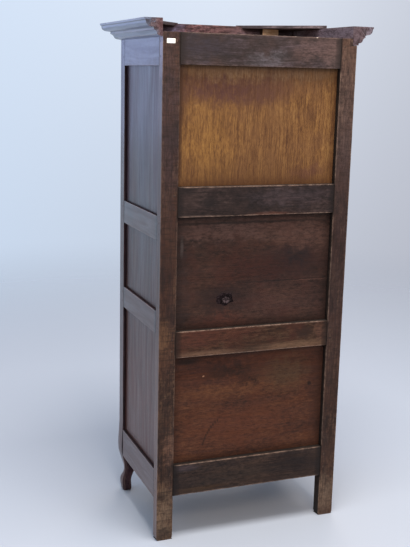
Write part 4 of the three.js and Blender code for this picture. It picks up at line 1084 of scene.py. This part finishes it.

# Each finish by the common name of its material and how its surface was made: its maker and its settings. A
# row of stains and painted light is back_stain's: x, z, half width and half height in millimetres,
# tone, strength and softness.
RECIPES = {
    # Planed oak, stained and never waxed: grey brown mottled with rust, dry and matt.
    "rear_post_left": (oak, dict(
        tones=("1e1512", "stained", "5c4638"), hue="472e23", clouds=0.9, mottle=0.4, saw=0.35, wear=0.4,
        stains_and_painted_light=(
            (-301, 1817, 60, 70, "5e463c", 0.6, 0.9), (-346, 1478, 25, 120, "2a1b1e", 0.6),
            (-342, 1560, 60, 230, "6a5650", 0.5, 0.9), (-342, 1020, 60, 430, "2c1e22", 0.6, 0.7),
            (-340, 300, 40, 60, "2b201e", 0.5), (-336, 90, 45, 85, "766252", 0.75),
        ),
    )),
    # The same stained oak, with brown and tan patches where the stain has rubbed off.
    "rear_post_right": (oak, dict(
        tones=("1e1512", "stained", "5a4434"), hue="4e3223", clouds=0.9, mottle=0.4, saw=0.5, wear=0.2,
        stains_and_painted_light=(
            (342, 1100, 60, 380, "301a18", 0.65, 0.8), (347, 1600, 40, 300, "45363a", 0.55),
            (347, 1532, 24, 50, "2c2020", 0.5),
            (368, 793, 30, 70, "6b4d36", 0.6), (357, 452, 24, 30, "2b1f1c", 0.6),
            (326, 358, 20, 50, "745546", 0.7, 0.9), (352, 98, 45, 110, "786452", 0.7),
            (359, 179, 24, 19, "2d211b", 0.7), (350, 20, 50, 22, "2d2320", 0.6),
        ),
    )),
    # The darkest rail, nearly black with damp, with a few brown streaks.
    "back_rail_bottom": (oak, dict(
        tones=("130d0d", "291e1b", "43332b"), hue="35261f", clouds=0.8, mottle=0.4, wear=0.7,
        stains_and_painted_light=(
            (-179, 236, 95, 50, "1c1414", 0.65), (68, 225, 160, 30, "3d2f26", 0.5),
            (200, 190, 90, 10, "43301f", 0.5), (262, 280, 50, 12, "4a3f44", 0.5),
        ),
    )),
    # Red brown oak at one end, paler and greener at the other where the stain is thin.
    "back_rail_lower": (oak, dict(
        tones=("1d110c", "352116", "4c3729"), hue="46241b", clouds=0.8, mottle=0.4, wear=0.7,
        stains_and_painted_light=(
            (180, 790, 170, 50, "4e281d", 0.65), (-166, 726, 160, 16, "6c5340", 0.7),
            (-215, 780, 38, 24, "261814", 0.7), (185, 723, 130, 10, "6f5443", 0.65),
            (0, 745, 90, 26, "35251a", 0.5), (-285, 775, 22, 40, "604034", 0.5),
        ),
    )),
    # Stained oak, darkest about its knots, with a warmer lower edge.
    "back_rail_upper": (oak, dict(
        tones=("140d0d", "261b1a", "403230"), hue="332522", clouds=0.8, mottle=0.4, wear=0.7,
        stains_and_painted_light=(
            (272, 1330, 29, 18, "191213", 0.8), (189, 1282, 29, 18, "191213", 0.8),
            (-77, 1278, 31, 21, "1b1514", 0.7), (-128, 1300, 170, 30, "453a3f", 0.45),
            (227, 1234, 75, 5, "64544e", 0.6, 0.8), (-58, 1236, 68, 6, "623b2c", 0.5, 0.9),
        ),
    )),
    # Stained oak under dust: a cool grey brown that turns browner towards one end.
    "back_rail_top": (oak, dict(
        tones=("1f1817", "342a2a", "4c4146"), hue="42312d", clouds=0.8, mottle=0.3, wear=0.25,
        stains_and_painted_light=(
            (235, 1821, 120, 40, "2e2a34", 0.6), (-234, 1830, 110, 40, "6a5350", 0.6),
            (-27, 1784, 60, 22, "67646b", 0.5, 0.9), (-300, 1790, 40, 60, "63504c", 0.5, 0.8),
            chip(-125.5, 1872.5, 5, 3), chip(-209.6, 1871, 4, 2.5),
        ),
    )),
    # Old planed oak with a wild figure near its top: red brown, mottled with tan and green.
    "back_panel_lower": (oak, dict(
        tones=("25130c", "russet", "5e3b27"), hue="4e2a19", streaks=0.22, clouds=0.6, pores=0.28, lines=0.2,
        shadow=0.5,
        stains_and_painted_light=(
            (0, 655, 340, 60, "3c170e", 0.5, 0.9), (257, 690, 52, 13, "160c0a", 0.9),
            (72, 640, 110, 30, "1e110c", 0.85), (1, 593, 52, 20, "1c0f0b", 0.85),
            (-154, 609, 90, 62, "493927", 0.6),
            (188, 628, 4, 3, "a57a5f", 0.8, 0.4), (-256, 558, 9, 9, "1b110f", 0.9, 0.4),
            (100, 560, 180, 20, "654027", 0.4), (-286, 489, 34, 200, "311c17", 0.5),
            (40, 421, 180, 70, "562e1e", 0.5),
            *((x, z, 3.6, 6.5, "23130d", 0.7, 0.6) for x, z in PANEL_ARC),
        ),
    )),
    # Old planed oak, oiled by time: brown with a cloudy dark heart, redder at its edges.
    "back_panel_middle": (oak, dict(
        tones=("160c0a", "umber", "462f26"), hue="3b201a", streaks=0.2, clouds=0.8, pores=0.28, lines=0.2,
        shadow=0.5,
        stains_and_painted_light=(
            (112, 1180, 260, 36, "533d38", 0.8, 0.7), (-225, 1150, 120, 60, "5a4038", 0.75, 0.9),
            (-141, 1045, 150, 66, "281615", 0.8, 0.8), (-167, 1066, 62, 36, "181215", 0.9, 0.8),
            (16, 1032, 150, 50, "381812", 0.55, 0.8), (118, 926, 100, 42, "1c1112", 0.9, 0.8),
            (-132, 905, 190, 66, "442e2a", 0.45, 0.8), (112, 836, 80, 26, "532d23", 0.6, 0.9),
            # The dark upright band beside the right post, at x 287, is painted shadow.
            (287, 1018, 26, 206, "261b1b", 0.6), (284, 1122, 5, 30, "544c4b", 0.5, 0.8),
            (272.8, 1110.2, 3, 3, "0b0707", 1.0, 0.4), (-135, 978, 178, 1.6, "100a0a", 0.9, 0.5),
            (-235, 975.5, 80, 1.2, "694a41", 0.55, 0.8), (30, 1204, 330, 5, "100a0a", 0.7, 0.6),
        ),
    )),
    # Clean sawn oak under thin varnish: golden, full of fine upright pores, darker where soot settled above,
    # with painted shade along its frame.
    "back_panel_upper": (oak, dict(
        tones=("462a17", "golden", "906b3e"), hue="6b4a2d", hue_share=0.6, streaks=0.45,
        clouds=0.3, mottle=0.3, pores=0.5, lines=0.4, shadow=0.6, roughness=0.6, relief=0.6,
        stains_and_painted_light=(
            (184, 1683, 125, 46, "45292a", 0.95, 0.8), (61, 1668, 130, 40, "45292a", 0.85, 0.8),
            (-42, 1685, 74, 50, "45292a", 0.95, 0.8), (-160, 1700, 120, 34, "66462f", 0.6, 0.8),
            (-38, 1520, 110, 150, "68482c", 0.6, 0.8), (0, 1756, 330, 34, "77604c", 0.8, 0.8),
            (-211, 1384, 60, 22, "553230", 0.7, 0.8), (291, 1706, 24, 110, "3f2a28", 0.6, 0.8),
            # The thin dark lines beside the right post and under the top rail are painted shadow.
            (301, 1545, 9, 235, "2a1a16", 0.9, 0.5), (0, 1764, 330, 5, "2c1c18", 0.75, 0.5),
            (190, 1480, 80, 130, "8c642f", 0.5, 0.9), (0, 1350, 330, 70, "4c301b", 0.6, 0.9),
        ),
    )),
    # Waxed oak on the front, in a soft even gloss.
    "waxed_oak": (waxed_oak, {}),
    # The rails of the sides, waxed and rubbed less: smoother in tone, with a painted blue reflection high up.
    "waxed_oak_side": (waxed_oak, dict(
        ends=("221618", "4c3229"), painted_reflection_share=0.26, painted_reflection_tones=("565c86", "7c80a4", "5c4044"),
        streaks=0.35, mottle=0.1, pores=0.12, lines=0.12, coat=0.55,
    )),
    # The outer face of a rear post, where wax meets dry stain: a greyer, duller painted reflection.
    "waxed_oak_corner": (waxed_oak, dict(
        ends=("281a1b", "60463e"), painted_reflection_share=0.36, painted_reflection_tones=("766a7e", "988ca0", "8e7068"),
        streaks=0.35, mottle=0.15, pores=0.15, lines=0.15, coat=0.32,
    )),
    # The panels of the sides, thickly waxed: upright dark lines under a painted blue reflection and painted
    # purple shade, with painted shade along the frame.
    "waxed_oak_side_panel": (waxed_oak, dict(
        ends=("1a1012", "46281f"), painted_reflection_share=0.16, painted_reflection_tones=("525878", "64607c", "6c3c36"),
        columns=SIDE_REFLECTION_AND_SHADE, coat=0.36, lines=0.45, pores=0.3, shadow=0.3,
    )),
    # The door's panels: redder waxed oak, with painted shade along the frame.
    "waxed_oak_panel": (waxed_oak, dict(
        ends=("1a0f0d", "4e3028"), shadow=0.7,
    )),
    # Oak inside the cupboard, planed and never stained: dry, tan and matt.
    "raw_oak": (oak, dict(
        tones=("43301f", "raw", "8f7152"), hue="65462f", roughness=0.8,
    )),
    # The cornice's front moulding, waxed like the front.
    "cornice_oak": (waxed_oak, {}),
    # The mouldings of the returns, waxed thickest of all: a strong gloss under a painted blue reflection.
    "cornice_side_oak": (waxed_oak, dict(
        painted_reflection_share=0.34, painted_reflection_tones=("565c82", "6a7290", "54322a"), streaks=0.4, pores=0.2, coat=0.85,
    )),
    # Sawn oak that never saw wax, behind the cornice: dry and red brown, with soot and painted shade in its
    # hollows, and painted light on faces in the gussets' shade.
    "cornice_back_oak": (oak, dict(
        tones=("2a191a", "5c4044", "8e686a"), hue="3e2a30", clouds=0.9, mottle=0.7, roughness=0.8,
        worn="7f655e",
        stains_and_painted_light=(
            (-300, 1895, 190, 80, "6c626c", 0.85), (-60, 1890, 70, 80, "44302e", 0.6),
            # These two blue grey patches are painted light on faces that lie in the gussets' shade.
            (190, 1900, 60, 60, "50506a", 0.85),
            (Vector((-400, -170, 1905)) * MM, Vector((60, 70, 60)) * MM, "a49cab", 0.8, 0.6),
        ),
    )),
    # The returns' sawn back ends: dry red brown wood, clouded blue where wax ran round from the moulding.
    "cornice_end_oak": (oak, dict(
        tones=("2a2024", "594b51", "786a6f"), hue="4c363a", clouds=0.9, mottle=0.7, roughness=0.75,
        worn="8a8694",
        stains_and_painted_light=(
            (438, 1912, 26, 36, "6c7890", 0.95, 0.25), (420, 1868, 30, 9, "6c7890", 0.8, 0.4),
            (380, 1893, 16, 40, "5c3a3a", 0.5, 0.6), (-425, 1905, 22, 30, "7a7280", 0.6, 0.6),
            (-360, 1885, 30, 50, "54484f", 0.6, 0.8),
        ),
    )),
    # Upper faces that nobody wipes: a grey felt of dust over brown oak, with next to no gloss.
    "dusty_oak": (oak, dict(
        tones=("352c27", "5a4d45", "776a5f"), hue="4a3e37", streaks=0.2, clouds=0.8, roughness=0.9,
        gloss=0.1, worn="6f5d50", wear=0.3,
    )),
    # Rough oak of the gussets, sawn and left: grey, dusty and dry.
    "gusset_oak": (oak, dict(
        tones=("383034", "706367", "96868a"), hue="54444a", clouds=0.8, roughness=0.85,
    )),
    # Narrow faces beside the side panels, and the side rails' upper and lower faces: painted shade in dark
    # purple brown.
    "reveal_side_oak": (oak, dict(
        tones=("150c10", "301e26", "4a343a"), hue="3a1c20", wear=0.2,
    )),
    # Narrow faces beside the back panels, and the back rails' upper and lower faces: painted shade, nearly
    # black.
    "reveal_oak": (oak, dict(
        tones=("120d0b", "251b17", "42322a"), hue="1c1411", wear=0.45,
    )),
    # Sawn ends drink stain and dirt: dark, dry and rough.
    "sawn_end_oak": (oak, dict(
        tones=("1d1512", "3a2a22", "5a4436"), hue="33241e", roughness=0.85, pores=0.3,
    )),
    # Riven pegs in the dry back: a little paler than the posts about them.
    "peg_oak_dry": (oak, dict(
        tones=("1f1614", "3f302c", "5e4b40"), hue="3a2a24", mottle=0.6,
    )),
    # Riven pegs under the wax of the front: dark and glossy.
    "peg_oak_waxed": (oak, dict(
        tones=("170e0b", "301d17", "4a2f25"), hue="3a2019", gloss=0.5, coat=0.3,
    )),
    # Sawn pine that never saw stain: pale yellow with soft tan streaks.
    "sawn_pine": (oak, dict(
        tones=("c29c78", "pine", "f4e0c6"), hue="d0a684", clouds=0.3, pores=0.1, worn="ecd6b8", wear=0.3,
    )),
    "knot_wood": (knot_wood, {}),
    "label_paper": (label_paper, {}),
    "forged_iron": (forged_iron, {}),
    "cast_brass": (cast_brass, {}),
}


class BONNETIERE_OT_stage(bpy.types.Operator):
    """Lay the pale floor, hang the soft lights and place the camera"""

    bl_idname = "bonnetiere.stage"
    bl_label = "Stage"

    def execute(self, context):
        lay_floor()
        hang_lights()
        place_camera()
        return {"FINISHED"}


FLOOR_RADIUS = 7.0
FLOOR_SEGMENTS = 96


def lay_floor():
    """A disc of pale floor whose rim fades into the surroundings, so that no view shows its edge."""
    form = bmesh.new()
    bmesh.ops.create_circle(form, cap_ends=True, segments=FLOOR_SEGMENTS, radius=FLOOR_RADIUS)
    mesh = bpy.data.meshes.new("studio_floor")
    form.to_mesh(mesh)
    form.free()
    floor = bpy.data.objects.new("studio_floor", mesh)
    bpy.context.scene.collection.objects.link(floor)
    floor.location.z = CAD_BOX[0][2]
    material, tree, place = new_finish("pale_floor")
    radius = add_node(tree, "VectorMath", {"operation": "LENGTH"}, {0: place}).outputs["Value"]
    shown = add_node(tree, "MapRange", {
        "interpolation_type": "SMOOTHSTEP", "From Min": 0.25 * FLOOR_RADIUS, "From Max": 0.9 * FLOOR_RADIUS,
        "To Min": 1.0, "To Max": 0.0,
    }, {"Value": radius}).outputs["Result"]
    settings = {"Roughness": 0.75, "Base Color": opaque("floor")}
    mesh.materials.append(add_surface(material, settings, {"Alpha": shown}))


# The pale room: grey below and white above, then tints by direction, each with where it starts and is full.
ROOM_LOW, ROOM_HIGH = "aeb2be", "dfe6f2"
ROOM_TINTS = (
    ("X", -0.62, 0.05, 0.75, "c6daf2"), ("X", -0.36, -0.62, 0.55, "a4a6b2"), ("Y", -0.1, 0.7, 0.8, "e6dcd0"),
)
ROOM_STRENGTH = 1.08

# Each lamp: name, place, the point that it faces, size, power in watts and tone.
LAMPS = (
    ("overhead_panel", (0.1, 1.1, 4.4), (0.0, 1.1, 0.0), 1.4, 180.0, "fffaf4"),
    ("camera_side_panel", (0.3, 4.2, 3.6), (0.0, 0.2, 0.8), 1.4, 60.0, "ffe6d0"),
    ("door_side_panel", (-2.2, -3.8, 3.6), (0.0, 0.0, 0.9), 2.0, 60.0, "ffe9d2"),
    ("window_panel", (1.7, -4.2, 1.75), (0.4, 0.0, 1.5), 1.1, 4.2, "9fb0f2"),
)


def hang_lights():
    """Daylight from a pale blue room and four soft panels: one overhead, one behind the camera, one on the
    door's side, and a faint blue window whose reflection cools the waxed side.
    """
    world = bpy.data.worlds.new("pale_room")
    bpy.context.scene.world = world
    world.use_nodes = True
    tree = world.node_tree
    tree.nodes.clear()
    direction = add_node(tree, "TexCoord").outputs["Generated"]
    parts = add_node(tree, "SeparateXYZ", links={0: direction}).outputs
    rise = add_node(tree, "MapRange", {"From Min": -0.3, "From Max": 0.12}, {"Value": parts["Z"]})
    ramp = add_node(tree, "ValToRGB", links={"Fac": rise.outputs["Result"]})
    stops = ramp.color_ramp.elements
    stops[0].color, stops[1].color = opaque(ROOM_LOW), opaque(ROOM_HIGH)
    layers = []
    for part, start, full, strength, tone in ROOM_TINTS:
        share = add_node(tree, "MapRange", {
            "interpolation_type": "SMOOTHSTEP", "From Min": start, "From Max": full, "To Max": strength,
        }, {"Value": parts[part]})
        layers.append((tone, share.outputs["Result"]))
    tint = lay_tones(tree, ramp.outputs["Color"], layers)
    background = add_node(tree, "Background", {"Strength": ROOM_STRENGTH}, {"Color": tint})
    add_node(tree, "OutputWorld", links={"Surface": background.outputs["Background"]})
    for name, place, aim, size, power, tone in LAMPS:
        light = bpy.data.lights.new(name, "AREA")
        light.size = size
        light.energy = power
        light.color = srgb(tone)
        lamp = bpy.data.objects.new(name, light)
        lamp.visible_camera = False
        lamp.location = place
        lamp.rotation_euler = (Vector(aim) - Vector(place)).to_track_quat("-Z", "Y").to_euler()
        bpy.context.scene.collection.objects.link(lamp)


# The camera's place, and in radians its turn from straight behind, its tip downwards and its lean.
CAMERA_PLACE = (1.4102, 3.3853, 1.7326)
CAMERA_TURN, CAMERA_PITCH, CAMERA_ROLL = 0.3720, 0.2094, 0.0238
LENS_MM = 61.85
FILM_MM = 36.0


def place_camera():
    """Stands the camera where the photograph was taken from, worked out from its vanishing lines."""
    data = bpy.data.cameras.new("camera")
    data.lens = LENS_MM
    data.sensor_width = FILM_MM
    data.sensor_fit = "AUTO"
    camera = bpy.data.objects.new("camera", data)
    turn = Matrix.Rotation(math.radians(180) - CAMERA_TURN, 4, "Z")
    tip = Matrix.Rotation(math.radians(90) - CAMERA_PITCH, 4, "X")
    roll = Matrix.Rotation(CAMERA_ROLL, 4, "Z")
    camera.matrix_world = Matrix.Translation(CAMERA_PLACE) @ turn @ tip @ roll
    bpy.context.scene.collection.objects.link(camera)
    bpy.context.scene.camera = camera
    bpy.context.scene.view_settings.view_transform = "Standard"


class BONNETIERE_PT_sidebar(bpy.types.Panel):
    """Lists the steps that dress the cupboard"""

    bl_idname = "BONNETIERE_PT_sidebar"
    bl_label = "Bonnetiere"
    bl_space_type = "VIEW_3D"
    bl_region_type = "UI"
    bl_category = "Bonnetiere"

    def draw(self, context):
        for step in STEPS:
            self.layout.operator(step.bl_idname)
        for group in (context.scene.bonnetiere_sizes, context.scene.bonnetiere_colours):
            for key in setting_names(group):
                self.layout.prop(group, key)


STEPS = (
    BONNETIERE_OT_stage,
    BONNETIERE_OT_back_frame,
    BONNETIERE_OT_back_panels,
    BONNETIERE_OT_sides,
    BONNETIERE_OT_front_frame,
    BONNETIERE_OT_inside,
    BONNETIERE_OT_cornice,
    BONNETIERE_OT_door,
    BONNETIERE_OT_pegs,
    BONNETIERE_OT_knot,
    BONNETIERE_OT_label,
    BONNETIERE_OT_nails,
    BONNETIERE_OT_fittings,
)
CLASSES = (BonnetiereSizes, BonnetiereColours, *STEPS, BONNETIERE_PT_sidebar)


def register():
    for item in CLASSES:
        bpy.utils.register_class(item)
    bpy.types.Scene.bonnetiere_sizes = PointerProperty(type=BonnetiereSizes)
    bpy.types.Scene.bonnetiere_colours = PointerProperty(type=BonnetiereColours)


def unregister():
    del bpy.types.Scene.bonnetiere_sizes
    del bpy.types.Scene.bonnetiere_colours
    for item in reversed(CLASSES):
        bpy.utils.unregister_class(item)


def main():
    register()
    read_settings()
    for step in STEPS:
        group, name = step.bl_idname.split(".")
        if getattr(getattr(bpy.ops, group), name)() != {"FINISHED"}:
            raise RuntimeError(f"{step.bl_label} did not finish")


if __name__ == "__main__":
    main()
